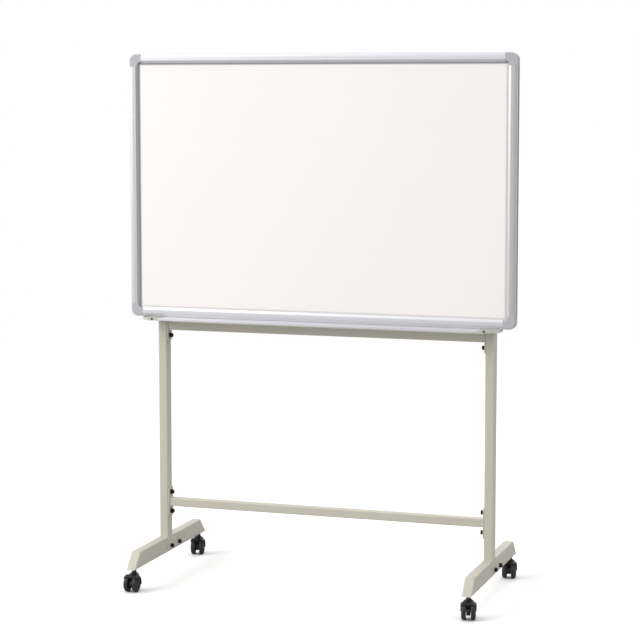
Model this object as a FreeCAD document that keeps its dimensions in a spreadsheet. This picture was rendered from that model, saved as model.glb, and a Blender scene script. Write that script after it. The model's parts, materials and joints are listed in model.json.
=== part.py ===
"""Rolling whiteboard: a framed board with a pen tray on a two-legged stand with four twin-wheel casters.

Millimetres, +Z up. The writing side faces -Y and +X is to the right of someone who faces it. The origin is
on the floor, midway between the uprights and in their mid plane. Every length below is a cell of the sheet.
"""
import FreeCAD, Part
import math
import os
import Sketcher

DOC = FreeCAD.newDocument("rolling_whiteboard")

# Driving dimensions, in millimetres.
DIMENSIONS = {
    # board
    "board_width": 1200.0,
    "board_height": 795.0,
    "board_bottom": 805.0,
    "frame_face": 28.0,
    "frame_heel": 3.3,  # the frame's depth behind the lip that holds the panel
    "frame_wall": 1.6,
    "frame_edge_radius": 2.5,
    "frame_shoulder": 9.0,  # the outer part of the face, which falls away from the flat
    "shoulder_drop": 1.8,
    "shoulder_radius": 20.0,
    "cap_edge_radius": 4.0,
    "bevel_width": 8.0,
    "bevel_depth": 4.4,
    "slot_front": 5.0,  # from the front face to the sheet that is written on
    "slot_grip": 8.0,  # how far the panel reaches under the frame's inner edge
    "slot_play": 0.1,
    "back_lip": 1.6,
    "sheet_thick": 0.6,
    "core_thick": 11.0,
    "back_sheet_thick": 0.4,
    "cap_land": 2.0,  # the straight end of a cap's arm, past its inner rounding
    "cap_outer_radius": 20.0,
    "cap_inner_radius": 8.0,
    "tongue_clear": 2.5,  # from the end of a cap's tongue to the nearest bracket screw
    "tongue_play": 0.2,
    # pen tray
    "tray_reach": 40.0,
    "tray_height": 8.0,
    "tray_floor": 2.0,
    "tray_lip": 3.0,
    "tray_rail": 18.0,
    "tray_setback": 2.0,  # from the frame's front face back to the trough's rear wall
    "tray_inset": 42.0,  # from the board's edge to the tray's end
    "tray_end_length": 62.0,
    "tray_end_radius": 38.0,
    "tray_screw_inset": 20.0,
    "tray_screw_radius": 1.6,
    "tray_screw_head_radius": 3.0,
    "tray_screw_head_high": 2.0,
    "tray_screw_length": 5.0,
    "tray_edge_radius": 1.2,
    "trough_radius": 1.0,
    # stand
    "upright_inset": 85.0,  # from the board's edge to the upright's middle
    "upright_width": 28.0,
    "upright_depth": 36.0,
    "upright_wall": 1.6,
    "upright_radius": 4.0,
    "upright_drop": 20.0,  # from the board's top down to the tubes' tops
    "plug_thick": 3.0,
    "plug_depth": 12.0,
    "plug_play": 0.5,
    "plug_edge_radius": 1.2,
    "crossbar_depth": 28.0,
    "crossbar_high": 25.0,
    "crossbar_wall": 1.6,
    "crossbar_radius": 3.0,
    "upper_bar_drop": 33.0,  # from the board's underside down to the bar's middle
    "lower_bar_rise": 108.6,  # from the feet's tops up to the bar's middle
    "plate_thick": 3.2,
    "plate_width": 34.0,
    "plate_high": 94.0,
    "plate_radius": 10.0,
    "plate_edge_radius": 0.8,
    "plate_bolt_pitch": 60.0,
    "bolt_radius": 4.0,
    "bolt_head_radius": 6.5,
    "bolt_head_high": 8.0,
    "bolt_length": 22.0,
    "bolt_socket": 3.4,
    "washer_radius": 8.0,
    "washer_thick": 1.6,
    "hole_play": 0.05,
    # board brackets
    "bracket_gap": 19.0,  # from the frame's back face to the uprights
    "bracket_start": 2.0,  # from the board's edge to the bracket's lip
    "bracket_width": 60.0,
    "bracket_thick": 3.0,
    "bracket_lip": 17.0,
    "bracket_web": 36.0,
    "bracket_screw_pitch": 40.0,
    "bracket_screw_radius": 2.5,
    "bracket_head_radius": 5.0,
    "bracket_head_high": 3.0,
    "bracket_socket": 2.0,
    "web_screw_first": 16.0,
    "web_screw_pitch": 13.0,
    "screw_tail": 2.0,  # how far a screw's tip passes the last wall
    # feet
    "foot_width": 30.0,
    "foot_high": 48.0,
    "foot_wall": 2.0,
    "foot_radius": 4.0,
    "foot_front_reach": 278.0,
    "foot_rear_reach": 296.5,
    "foot_slant": 44.0,
    "seam_ahead": 33.0,
    "seam_gap": 2.0,
    "tongue_behind": 86.0,
    "tongue_wall": 2.0,
    "tongue_radius": 3.0,
    "tongue_overlap": 25.0,  # how far the tongue runs back inside its own tube
    "collar_length": 4.0,
    "foot_bolt_first": 1.0,
    "foot_bolt_pitch": 61.0,
    "foot_bolt_level": 17.0,  # above the foot's underside
    "foot_bolt_radius": 4.0,
    "foot_bolt_head_radius": 6.5,
    "foot_bolt_head_high": 8.0,
    "foot_bolt_length": 16.0,
    "foot_bolt_socket": 3.4,
    "foot_washer_radius": 8.5,
    "foot_washer_thick": 1.2,
    # casters
    "stem_inset": 27.0,
    "socket_radius": 7.0,
    "socket_flange_radius": 8.5,
    "socket_flange": 2.0,
    "socket_high": 17.0,
    "stem_margin": 1.0,  # from the stem's ends to the hub and to the bush's top
    "stem_radius": 4.0,
    "stem_play": 0.05,
    "swivel_gap": 0.4,
    "neck_rise": 14.5,  # from the hood's top up to the foot's underside
    "caster_trail": 20.0,
    "wheel_radius": 24.5,
    "wheel_thick": 14.0,
    "wheel_gap": 14.0,
    "wheel_round": 7.0,
    "wheel_crown": 1.0,  # how far the tread ends short of the outer face
    "wheel_edge_radius": 3.0,
    "wheel_rim": 8.0,  # the ring of the outer face, outside the dish
    "wheel_dish": 1.4,
    "dish_slope": 1.0,
    "wheel_cap_radius": 7.0,
    "wheel_cap_round": 1.0,
    "hub_radius": 12.0,
    "web_play": 1.0,
    "hood_play": 1.3,
    "hood_thick": 1.6,
    "hood_side_play": 0.4,
    "hood_skirt": 8.5,  # how far the hood's sides come down from its crown
    "hood_round": 8.0,
    "axle_radius": 3.0,
    "axle_play": 0.05,
    "axle_end_wall": 3.0,
    "axle_end_play": 0.5,
}

# How far each caster has swung about its stem, in degrees, and the part of the turn that its hood covers.
CASTER_TURNS = {"front_left": 3.0, "front_right": 14.0, "rear_left": 14.0, "rear_right": 8.0}
HOOD_FROM = -15.0
HOOD_SWEEP = 140.0

SIDES = {"left": -1, "right": 1}
ALONG_X = FreeCAD.Rotation(FreeCAD.Vector(0, 0, 1), FreeCAD.Vector(1, 0, 0))
ALONG_MINUS_X = FreeCAD.Rotation(FreeCAD.Vector(0, 0, 1), FreeCAD.Vector(-1, 0, 0))
ALONG_Y = FreeCAD.Rotation(FreeCAD.Vector(0, 0, 1), FreeCAD.Vector(0, 1, 0))
ALONG_MINUS_Y = FreeCAD.Rotation(FreeCAD.Vector(0, 0, 1), FreeCAD.Vector(0, -1, 0))
UPWARD = FreeCAD.Rotation()
DOWNWARD = FreeCAD.Rotation(FreeCAD.Vector(1, 0, 0), 180)

SOCKET_SHARE = 0.55  # of a screw head's height that its hexagon socket takes
SINK = 0.5  # how far pieces that are fused reach into each other


class Size:
    """A length that carries its number and the sheet expression that drives it."""

    def __init__(self, text, value):
        self.text = text
        self.value = value

    def __add__(self, other):
        other = as_size(other)
        return Size(f"({self.text} + {other.text})", self.value + other.value)

    def __sub__(self, other):
        other = as_size(other)
        return Size(f"({self.text} - {other.text})", self.value - other.value)

    def __mul__(self, factor):
        return Size(f"({self.text} * ({factor:.9f}))", self.value * factor)

    def __truediv__(self, factor):
        return Size(f"({self.text} / {factor})", self.value / factor)

    def __neg__(self):
        return Size(f"(-{self.text})", -self.value)


def as_size(number):
    """A plain number as a Size; a Size stays as it is."""
    return number if isinstance(number, Size) else Size(f"({number})", float(number))


def make_sheet():
    """The spreadsheet with one aliased cell for each driving dimension."""
    sheet = DOC.addObject("Spreadsheet::Sheet", "Sheet")
    for row, (alias, number) in enumerate(DIMENSIONS.items(), start=1):
        sheet.set(f"A{row}", alias)
        sheet.set(f"B{row}", str(number))
        sheet.setAlias(f"B{row}", alias)
    DOC.recompute()


def size(alias):
    """The driving dimension of that name."""
    return Size(f"Sheet.{alias}", DIMENSIONS[alias])


def fresh(kind, name):
    """A new document object; FreeCAD makes its name unique."""
    return DOC.addObject(kind, name)


def bind(thing, **lengths):
    """Drives properties of an object from the sheet."""
    for name, length in lengths.items():
        thing.setExpression(name, as_size(length).text)


def place(thing, x, y, z, turned=UPWARD):
    """Puts an object at a place that follows the sheet, turned as given."""
    x, y, z = as_size(x), as_size(y), as_size(z)
    thing.Placement = FreeCAD.Placement(FreeCAD.Vector(x.value, y.value, z.value), turned)
    for axis, length in (("x", x), ("y", y), ("z", z)):
        thing.setExpression(f"Placement.Base.{axis}", length.text)
    return thing


def block(name, x, y, z, wide, deep, high):
    """A box from its lowest corner."""
    box = fresh("Part::Box", name)
    bind(box, Length=wide, Width=deep, Height=high)
    return place(box, x, y, z)


def rod(name, x, y, z, radius, length, turned=UPWARD, sweep=360.0):
    """A cylinder that starts at a point and runs the way it is turned."""
    cylinder = fresh("Part::Cylinder", name)
    bind(cylinder, Radius=radius, Height=length)
    cylinder.Angle = sweep
    return place(cylinder, x, y, z, turned)


def fuse(name, pieces):
    """One solid from several that meet."""
    joined = fresh("Part::MultiFuse", name)
    joined.Shapes = pieces
    return joined


def cut(name, base, tools):
    """The base less every tool."""
    tool = tools[0] if len(tools) == 1 else fuse(f"{name}_tool", tools)
    result = fresh("Part::Cut", name)
    result.Base = base
    result.Tool = tool
    return result


def group(name, pieces):
    """Separate solids that share one node."""
    compound = fresh("Part::Compound", name)
    compound.Links = pieces
    return compound


def new_body(name):
    """An empty PartDesign body."""
    return fresh("PartDesign::Body", name)


def new_sketch(body, role):
    """A sketch on one of the body's own origin planes, found by its role."""
    sketch = body.newObject("Sketcher::SketchObject", f"{body.Name}_sketch")
    plane = next(item for item in body.Origin.OriginFeatures if item.Role == role)
    sketch.AttachmentSupport = [(plane, "")]
    sketch.MapMode = "FlatFace"
    return sketch


def pin_point(sketch, across, up):
    """A construction point held at a place that follows the sheet; gives its index."""
    spot = sketch.addGeometry(Part.Point(FreeCAD.Vector(across.value, up.value, 0)), True)
    for kind, length in (("DistanceX", across), ("DistanceY", up)):
        index = sketch.addConstraint(Sketcher.Constraint(kind, -1, 1, spot, 1, length.value))
        sketch.setExpression(f"Constraints[{index}]", length.text)
    return spot


def rounding(before, corner, after, radius):
    """Where an arc of that radius leaves both edges at a corner, and the arc itself."""
    back = (before - corner).normalize()
    ahead = (after - corner).normalize()
    half = math.acos(max(-1.0, min(1.0, back.dot(ahead)))) / 2
    reach = radius / math.tan(half)
    start, finish = corner + back * reach, corner + ahead * reach
    middle = corner + (back + ahead).normalize() * (radius / math.sin(half) - radius)
    return start, finish, Part.Arc(start, middle, finish)


def outline(sketch, corners):
    """A closed outline through corners (across, up) or (across, up, radius), every one tied to the sheet."""
    full = [(as_size(c[0]), as_size(c[1]), as_size(c[2]) if len(c) > 2 else None) for c in corners]
    spots = [pin_point(sketch, across, up) for across, up, _ in full]
    points = [FreeCAD.Vector(across.value, up.value, 0) for across, up, _ in full]
    count = len(full)
    starts, finishes, arcs = [], [], []
    for i, (_, _, radius) in enumerate(full):
        if radius is None:
            starts.append(points[i])
            finishes.append(points[i])
            arcs.append(None)
            continue
        start, finish, arc = rounding(points[i - 1], points[i], points[(i + 1) % count], radius.value)
        starts.append(start)
        finishes.append(finish)
        arcs.append(sketch.addGeometry(arc, False))
    segments = [Part.LineSegment(finishes[i], starts[(i + 1) % count]) for i in range(count)]
    lines = [sketch.addGeometry(segment, False) for segment in segments]
    for i, (_, _, radius) in enumerate(full):
        arriving, leaving = lines[i - 1], lines[i]
        if radius is None:
            sketch.addConstraint(Sketcher.Constraint("Coincident", arriving, 2, spots[i], 1))
            sketch.addConstraint(Sketcher.Constraint("Coincident", leaving, 1, spots[i], 1))
            continue
        arc = arcs[i]
        arc_start = sketch.getPoint(arc, 1)
        first, last = (1, 2) if arc_start.distanceToPoint(starts[i]) < 1e-6 else (2, 1)
        sketch.addConstraint(Sketcher.Constraint("PointOnObject", spots[i], 1, arriving))
        sketch.addConstraint(Sketcher.Constraint("PointOnObject", spots[i], 1, leaving))
        sketch.addConstraint(Sketcher.Constraint("Tangent", arriving, 2, arc, first))
        sketch.addConstraint(Sketcher.Constraint("Tangent", leaving, 1, arc, last))
        index = sketch.addConstraint(Sketcher.Constraint("Radius", arc, radius.value))
        sketch.setExpression(f"Constraints[{index}]", radius.text)


def rounded_rectangle(sketch, across, up, wide, high, radius):
    """A rounded rectangle about a centre."""
    half_wide, half_high = as_size(wide) / 2, as_size(high) / 2
    across, up = as_size(across), as_size(up)
    outline(
        sketch,
        [
            (across - half_wide, up - half_high, radius),
            (across + half_wide, up - half_high, radius),
            (across + half_wide, up + half_high, radius),
            (across - half_wide, up + half_high, radius),
        ],
    )


def pad(body, sketch, length, both_ways=False, backward=False):
    """Pads a sketch by a length that follows the sheet."""
    feature = body.newObject("PartDesign::Pad", f"{body.Name}_pad")
    feature.Profile = sketch
    bind(feature, Length=length)
    feature.SideType = "Symmetric" if both_ways else "One side"
    feature.Reversed = backward
    return feature


def pocket(body, sketch, length, both_ways=False, backward=False):
    """Cuts a sketch's outline out of the body, and makes sure that material went."""
    DOC.recompute()
    before = body.Shape.Volume
    feature = body.newObject("PartDesign::Pocket", f"{body.Name}_pocket")
    feature.Profile = sketch
    bind(feature, Length=length)
    feature.SideType = "Symmetric" if both_ways else "One side"
    feature.Reversed = backward
    DOC.recompute()
    if body.Shape.Volume > before - 1.0:
        raise RuntimeError(f"{feature.Name} cut nothing")
    return feature


def edges_where(shape, test):
    """The names of a shape's edges whose every end and middle passes a test."""
    names = []
    for number, edge in enumerate(shape.Edges, start=1):
        middle = edge.valueAt((edge.FirstParameter + edge.LastParameter) / 2)
        if all(test(point) for point in [v.Point for v in edge.Vertexes] + [middle]):
            names.append(f"Edge{number}")
    return names


def fillet_edges(body, radius, test, leave=()):
    """Rounds the edges of a body that pass a test, less those to leave."""
    DOC.recompute()
    base = body.Tip
    names = [name for name in edges_where(base.Shape, test) if name not in leave]
    feature = body.newObject("PartDesign::Fillet", f"{body.Name}_fillet")
    feature.Base = (base, names)
    bind(feature, Radius=radius)


def chamfer_edges(body, first, second, test):
    """Bevels the edges of a body that pass a test by two distances."""
    DOC.recompute()
    base = body.Tip
    names = edges_where(base.Shape, test)
    feature = body.newObject("PartDesign::Chamfer", f"{body.Name}_chamfer")
    feature.Base = (base, names)
    feature.ChamferType = "Two distances"
    bind(feature, Size=first, Size2=second)


def near(a, b):
    """True where two numbers agree to a hundredth of a millimetre."""
    return abs(a - b) < 0.01


def socket_screw(name, x, y, z, turned, head_radius, head_high, radius, length, socket):
    """A cap screw whose head sits at a point on its seat and whose shank runs the other way.

    The head stands out the way the screw is turned, and has a hexagon socket.
    """
    x, y, z = as_size(x), as_size(y), as_size(z)
    out = turned.multVec(FreeCAD.Vector(0, 0, 1))
    head = rod(f"{name}_head", x, y, z, head_radius, head_high, turned)
    tail = as_size(length)
    shank = rod(
        f"{name}_shank", x - tail * out.x, y - tail * out.y, z - tail * out.z, radius, tail + SINK, turned
    )
    depth = as_size(head_high) * SOCKET_SHARE
    start = as_size(head_high) - depth
    hexagon = fresh("Part::Prism", f"{name}_socket")
    hexagon.Polygon = 6
    bind(hexagon, Circumradius=socket, Height=depth + SINK)
    place(hexagon, x + start * out.x, y + start * out.y, z + start * out.z, turned)
    return cut(name, fuse(f"{name}_blank", [head, shank]), [hexagon])


def washer(name, x, y, z, turned, outer, inner, thick):
    """A flat ring that starts at a point and runs the way it is turned."""
    return cut(
        name,
        rod(f"{name}_disc", x, y, z, outer, thick, turned),
        [rod(f"{name}_hole", x, y, z, inner, thick, turned)],
    )


# ---------------------------------------------------------------- shared places
make_sheet()

BOARD_HALF = size("board_width") / 2
BOARD_BOTTOM = size("board_bottom")
BOARD_TOP = BOARD_BOTTOM + size("board_height")
FACE = size("frame_face")
SLOT_FLOOR = FACE - size("slot_grip")
SLOT_WIDE = size("sheet_thick") + size("core_thick") + size("back_sheet_thick") + size("slot_play")
SLOT_BACK = size("slot_front") + SLOT_WIDE
SLOT_BACK_FACE = SLOT_BACK + size("back_lip")
FRAME_DEPTH = SLOT_BACK_FACE + size("frame_heel")
UPRIGHT_FRONT = -size("upright_depth") / 2
FRAME_BACK = UPRIGHT_FRONT - size("bracket_gap")
FRAME_FRONT = FRAME_BACK - FRAME_DEPTH
CAP_ARM = FACE + size("cap_inner_radius") + size("cap_land")
CHAMBER = SLOT_FLOOR - size("frame_wall") * 2
CHAMBER_FRONT = size("frame_wall") + size("shoulder_drop")
CHAMBER_DEPTH = FRAME_DEPTH - size("frame_wall") - CHAMBER_FRONT
TRAY_HALF = BOARD_HALF - size("tray_inset") - size("tray_end_length")
TRAY_SCREW_X = TRAY_HALF + size("tray_screw_inset")
TRAY_SCREW_Y = FRAME_FRONT + size("tray_setback") + size("tray_rail") / 2
BRACKET_STEP = size("bracket_start") + size("bracket_lip")
BRACKET_SCREW_UP = size("bracket_start") + (size("bracket_lip") - size("bracket_thick")) / 2
WEB_SCREWS = [BRACKET_STEP + size("web_screw_first") + size("web_screw_pitch") * step for step in (0, 1)]
BRACKET_BORE = size("bracket_screw_radius") + size("hole_play")
UPRIGHT_X = BOARD_HALF - size("upright_inset")
OUTER_SCREW_INSET = size("upright_inset") - size("bracket_screw_pitch") / 2 - size("bracket_screw_radius")
CAP_TONGUE = OUTER_SCREW_INSET - CAP_ARM - size("tongue_clear")
UPRIGHT_INNER = UPRIGHT_X - size("upright_width") / 2
HOOD_INNER = size("wheel_radius") + size("hood_play")
HOOD_OUTER = HOOD_INNER + size("hood_thick")
FOOT_BOTTOM = size("wheel_radius") + HOOD_OUTER + size("neck_rise")
FOOT_TOP = FOOT_BOTTOM + size("foot_high")
UPRIGHT_TOP = BOARD_TOP - size("upright_drop")
BARS = {"upper": BOARD_BOTTOM - size("upper_bar_drop"), "lower": FOOT_TOP + size("lower_bar_rise")}
STEM_FRONT = -size("foot_front_reach") + size("stem_inset")
STEM_REAR = size("foot_rear_reach") - size("stem_inset")
PARTS = []


def keep(thing, label):
    """Gives a finished sub-part its label and lists it for export."""
    thing.Label = label
    PARTS.append(thing)
    return thing


# ---------------------------------------------------------------- board panel
def make_panel():
    """The writing sheet, the core behind it and the steel back sheet."""
    wide = size("board_width") - SLOT_FLOOR * 2 - size("slot_play") * 2
    high = size("board_height") - SLOT_FLOOR * 2 - size("slot_play") * 2
    left = -wide / 2
    low = BOARD_BOTTOM + SLOT_FLOOR + size("slot_play")
    front = FRAME_FRONT + size("slot_front") + size("slot_play") / 2
    layers = {"writing_surface": "sheet_thick", "board_core": "core_thick", "back_sheet": "back_sheet_thick"}
    for label, thickness in layers.items():
        keep(block(label, left, front, low, wide, size(thickness), high), label)
        front = front + size(thickness)


# ---------------------------------------------------------------- board frame
def frame_section(sketch, flip_across, flip_up, swap):
    """The extrusion's section: rounded outer edge, flat face, inner bevel, panel slot and hollow chamber.

    The section is drawn from the outer edge inwards and from the front backwards, and mirrored as asked.
    """
    wall = size("frame_wall")

    def at(inward, backward, *radius):
        across, up = as_size(inward) * flip_across, as_size(backward) * flip_up
        return (up, across, *radius) if swap else (across, up, *radius)

    outline(
        sketch,
        [
            at(0, size("shoulder_drop"), size("frame_edge_radius")),
            at(size("frame_shoulder"), 0, size("shoulder_radius")),
            at(FACE - size("bevel_width"), 0),
            at(FACE, size("bevel_depth")),
            at(FACE, size("slot_front")),
            at(SLOT_FLOOR, size("slot_front")),
            at(SLOT_FLOOR, SLOT_BACK),
            at(FACE, SLOT_BACK),
            at(FACE, SLOT_BACK_FACE),
            at(SLOT_FLOOR, SLOT_BACK_FACE),
            at(SLOT_FLOOR, FRAME_DEPTH),
            at(0, FRAME_DEPTH),
        ],
    )
    outline(
        sketch,
        [
            at(wall, CHAMBER_FRONT),
            at(wall + CHAMBER, CHAMBER_FRONT),
            at(wall + CHAMBER, FRAME_DEPTH - wall),
            at(wall, FRAME_DEPTH - wall),
        ],
    )


def make_frame():
    """Four extruded members that run between the corner caps; the horizontal ones take the bracket screws."""
    run = size("board_width") - CAP_ARM * 2
    rise = size("board_height") - CAP_ARM * 2
    for label, level, flip in (("frame_bottom", BOARD_BOTTOM, 1), ("frame_top", BOARD_TOP, -1)):
        body = new_body(f"{label}_profile")
        sketch = new_sketch(body, "YZ_Plane")
        frame_section(sketch, flip, 1, True)
        pad(body, sketch, run)
        place(body, -run / 2, FRAME_FRONT, level)
        holes = []
        for side in SIDES.values():
            for step in (-1, 1):
                x = UPRIGHT_X * side + size("bracket_screw_pitch") / 2 * step
                z = level + BRACKET_SCREW_UP * flip
                holes.append(
                    rod(f"{label}_hole", x, FRAME_BACK, z, BRACKET_BORE, size("frame_wall"), ALONG_MINUS_Y)
                )
            if flip == 1:
                x = TRAY_SCREW_X * side
                holes.append(
                    rod(f"{label}_tray_hole", x, TRAY_SCREW_Y, level, BRACKET_BORE, size("frame_wall"))
                )
        keep(cut(f"{label}_cut", body, holes), label)
    for label, x, flip in (("frame_left", -BOARD_HALF, 1), ("frame_right", BOARD_HALF, -1)):
        body = new_body(f"{label}_profile")
        sketch = new_sketch(body, "XY_Plane")
        frame_section(sketch, flip, 1, False)
        pad(body, sketch, rise)
        place(body, x, FRAME_FRONT, BOARD_BOTTOM + CAP_ARM)
        keep(body, label)


def make_corner_cap(label, side, above):
    """A moulded corner: an L with a rounded outside, the frame's bevel, a pocket for the panel's corner
    and a tongue into each member's chamber. side and above give the corner's signs."""
    arm, inner, outer = CAP_ARM, size("cap_inner_radius"), size("cap_outer_radius")
    body = new_body(f"{label}_shell")
    sketch = new_sketch(body, "XZ_Plane")
    corners = [
        (0, 0, outer), (arm, 0), (arm, FACE), (FACE, FACE, inner), (FACE, arm), (0, arm),
    ]
    outline(sketch, [(as_size(c[0]) * -side, as_size(c[1]) * -above, *c[2:]) for c in corners])
    pad(body, sketch, FRAME_DEPTH, backward=True)

    def on_front_outside(p):
        x, z = -side * p.x, -above * p.z
        return near(p.y, 0) and (near(x, 0) or near(z, 0) or (x < outer.value and z < outer.value))

    def on_front_inside(p):
        x, z = -side * p.x, -above * p.z
        reach = FACE.value + inner.value
        inside = near(x, FACE.value) or near(z, FACE.value) or (x < reach and z < reach)
        return near(p.y, 0) and inside and x > FACE.value - 0.01 and z > FACE.value - 0.01

    chamfer_edges(body, size("bevel_width"), size("bevel_depth"), on_front_inside)
    fillet_edges(body, size("cap_edge_radius"), on_front_outside)
    place(body, BOARD_HALF * side, FRAME_FRONT, BOARD_TOP if above > 0 else BOARD_BOTTOM)

    def corner_block(name, x, y, z, wide, deep, high):
        low_x = as_size(x) if side < 0 else -(as_size(x) + wide)
        low_z = as_size(z) if above < 0 else -(as_size(z) + high)
        base_z = BOARD_TOP if above > 0 else BOARD_BOTTOM
        return block(name, BOARD_HALF * side + low_x, FRAME_FRONT + y, base_z + low_z, wide, deep, high)

    reach = arm - SLOT_FLOOR
    panel = corner_block(f"{label}_slot", SLOT_FLOOR, size("slot_front"), SLOT_FLOOR, reach, SLOT_WIDE, reach)
    back_step = corner_block(
        f"{label}_step", SLOT_FLOOR, SLOT_BACK_FACE, SLOT_FLOOR, reach, size("frame_heel"), reach
    )
    play = size("tongue_play")
    inset, front = size("frame_wall") + play, CHAMBER_FRONT + play
    thin, deep, long = CHAMBER - play * 2, CHAMBER_DEPTH - play * 2, CAP_TONGUE
    tongues = [
        corner_block(f"{label}_tongue", arm, front, inset, long, deep, thin),
        corner_block(f"{label}_tongue", inset, front, arm, thin, deep, long),
    ]
    shell = cut(f"{label}_trimmed", body, [panel, back_step])
    keep(fuse(f"{label}_whole", [shell, *tongues]), label)


# ---------------------------------------------------------------- pen tray
def make_tray():
    """The tray's extrusion below the frame, its two rounded ends and the screws that hold them.

    Each end takes one small screw through its lip and one from below into the frame.
    """
    low = BOARD_BOTTOM - size("tray_height")
    front, floor, lip = -size("tray_reach"), size("tray_floor"), size("tray_lip")
    high, rail = size("tray_height"), size("tray_rail")
    rail_front, wall = size("tray_setback"), size("frame_wall")
    edge, crease = size("tray_edge_radius"), size("trough_radius")
    body = new_body("pen_tray_profile")
    sketch = new_sketch(body, "YZ_Plane")
    outline(
        sketch,
        [
            (front, 0, edge), (rail_front + rail, 0), (rail_front + rail, high), (rail_front, high),
            (rail_front, floor, crease), (front + lip, floor, crease), (front + lip, high, edge),
            (front, high, edge),
        ],
    )
    outline(
        sketch,
        [
            (rail_front + wall, floor), (rail_front + rail - wall, floor),
            (rail_front + rail - wall, high - wall), (rail_front + wall, high - wall),
        ],
    )
    pad(body, sketch, TRAY_HALF * 2)
    place(body, -TRAY_HALF, FRAME_FRONT, low)
    keep(body, "pen_tray")

    screws = []
    end_length, corner = size("tray_end_length"), size("tray_end_radius")
    for word, side in SIDES.items():
        label = f"tray_end_{word}"
        shell = new_body(f"{label}_shell")
        sketch = new_sketch(shell, "XY_Plane")
        back = rail_front + rail
        plan = [(0, front), (end_length, front, corner), (end_length, back), (0, back)]
        outline(sketch, [(as_size(c[0]) * side, *c[1:]) for c in plan])
        pad(shell, sketch, high)
        inner = corner - lip
        trough = [
            (0, front + lip), (end_length - lip, front + lip, inner), (end_length - lip, rail_front),
            (0, rail_front),
        ]
        hollow = new_sketch(shell, "XY_Plane")
        outline(hollow, [(as_size(c[0]) * side, *c[1:]) for c in trough])
        hollow.setExpression("AttachmentOffset.Base.z", floor.text)
        pocket(shell, hollow, high, backward=True)
        place(shell, TRAY_HALF * side, FRAME_FRONT, low)
        x = TRAY_SCREW_X * side
        lip_y, lip_z = FRAME_FRONT + front, low + floor + (high - floor) / 2
        lip_bore = size("tray_screw_radius") + size("hole_play")
        front_hole = rod(f"{label}_front_hole", x, lip_y, lip_z, lip_bore, lip, ALONG_Y)
        under_hole = rod(f"{label}_under_hole", x, TRAY_SCREW_Y, low, BRACKET_BORE, high)
        keep(cut(f"{label}_cut", shell, [front_hole, under_hole]), label)
        screws.append(
            socket_screw(
                f"{label}_front_screw", x, lip_y, lip_z, ALONG_MINUS_Y,
                size("tray_screw_head_radius"), size("tray_screw_head_high"), size("tray_screw_radius"),
                size("tray_screw_length"), size("tray_screw_radius"),
            )
        )
        screws.append(
            socket_screw(
                f"{label}_under_screw", x, TRAY_SCREW_Y, low, DOWNWARD,
                size("bracket_head_radius"), size("bracket_head_high"), size("bracket_screw_radius"),
                high + size("frame_wall") + size("screw_tail"), size("bracket_socket"),
            )
        )
    keep(group("tray_screws_group", screws), "tray_screws")


# ---------------------------------------------------------------- board brackets
def make_brackets():
    """Z-shaped brackets that hold the board's top and bottom members to the uprights, and their screws."""
    thick, gap, start = size("bracket_thick"), size("bracket_gap"), size("bracket_start")
    foot, end = BRACKET_STEP, BRACKET_STEP + size("bracket_web")
    screws = []
    for row, level, flip in (("lower", BOARD_BOTTOM, 1), ("upper", BOARD_TOP, -1)):
        for word, side in SIDES.items():
            label = f"board_bracket_{row}_{word}"
            body = new_body(f"{label}_bent")
            sketch = new_sketch(body, "YZ_Plane")
            section = [
                (0, start), (thick, start), (thick, foot - thick), (gap, foot - thick), (gap, end),
                (gap - thick, end), (gap - thick, foot), (0, foot),
            ]
            outline(sketch, [(across, as_size(up) * flip) for across, up in section])
            pad(body, sketch, size("bracket_width"))
            place(body, UPRIGHT_X * side - size("bracket_width") / 2, FRAME_BACK, level)
            holes = []
            for step in (-1, 1):
                x = UPRIGHT_X * side + size("bracket_screw_pitch") / 2 * step
                z = level + BRACKET_SCREW_UP * flip
                holes.append(rod(f"{label}_lip_hole", x, FRAME_BACK, z, BRACKET_BORE, thick, ALONG_Y))
                screws.append(bracket_screw(f"{label}_lip_screw", x, FRAME_BACK + thick, z, ALONG_Y))
            seat = UPRIGHT_FRONT - thick
            for drop in WEB_SCREWS:
                z = level + drop * flip
                x = UPRIGHT_X * side
                holes.append(rod(f"{label}_web_hole", x, seat, z, BRACKET_BORE, thick, ALONG_Y))
                screws.append(bracket_screw(f"{label}_web_screw", x, seat, z, ALONG_MINUS_Y))
            keep(cut(f"{label}_cut", body, holes), label)
    keep(group("bracket_screws_group", screws), "bracket_screws")


def bracket_screw(name, x, y, z, turned):
    """One of the small screws of the brackets; its shank passes the bracket and one tube wall."""
    length = size("bracket_thick") + size("upright_wall") + size("screw_tail")
    return socket_screw(
        name, x, y, z, turned,
        size("bracket_head_radius"), size("bracket_head_high"), size("bracket_screw_radius"), length,
        size("bracket_socket"),
    )


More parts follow.
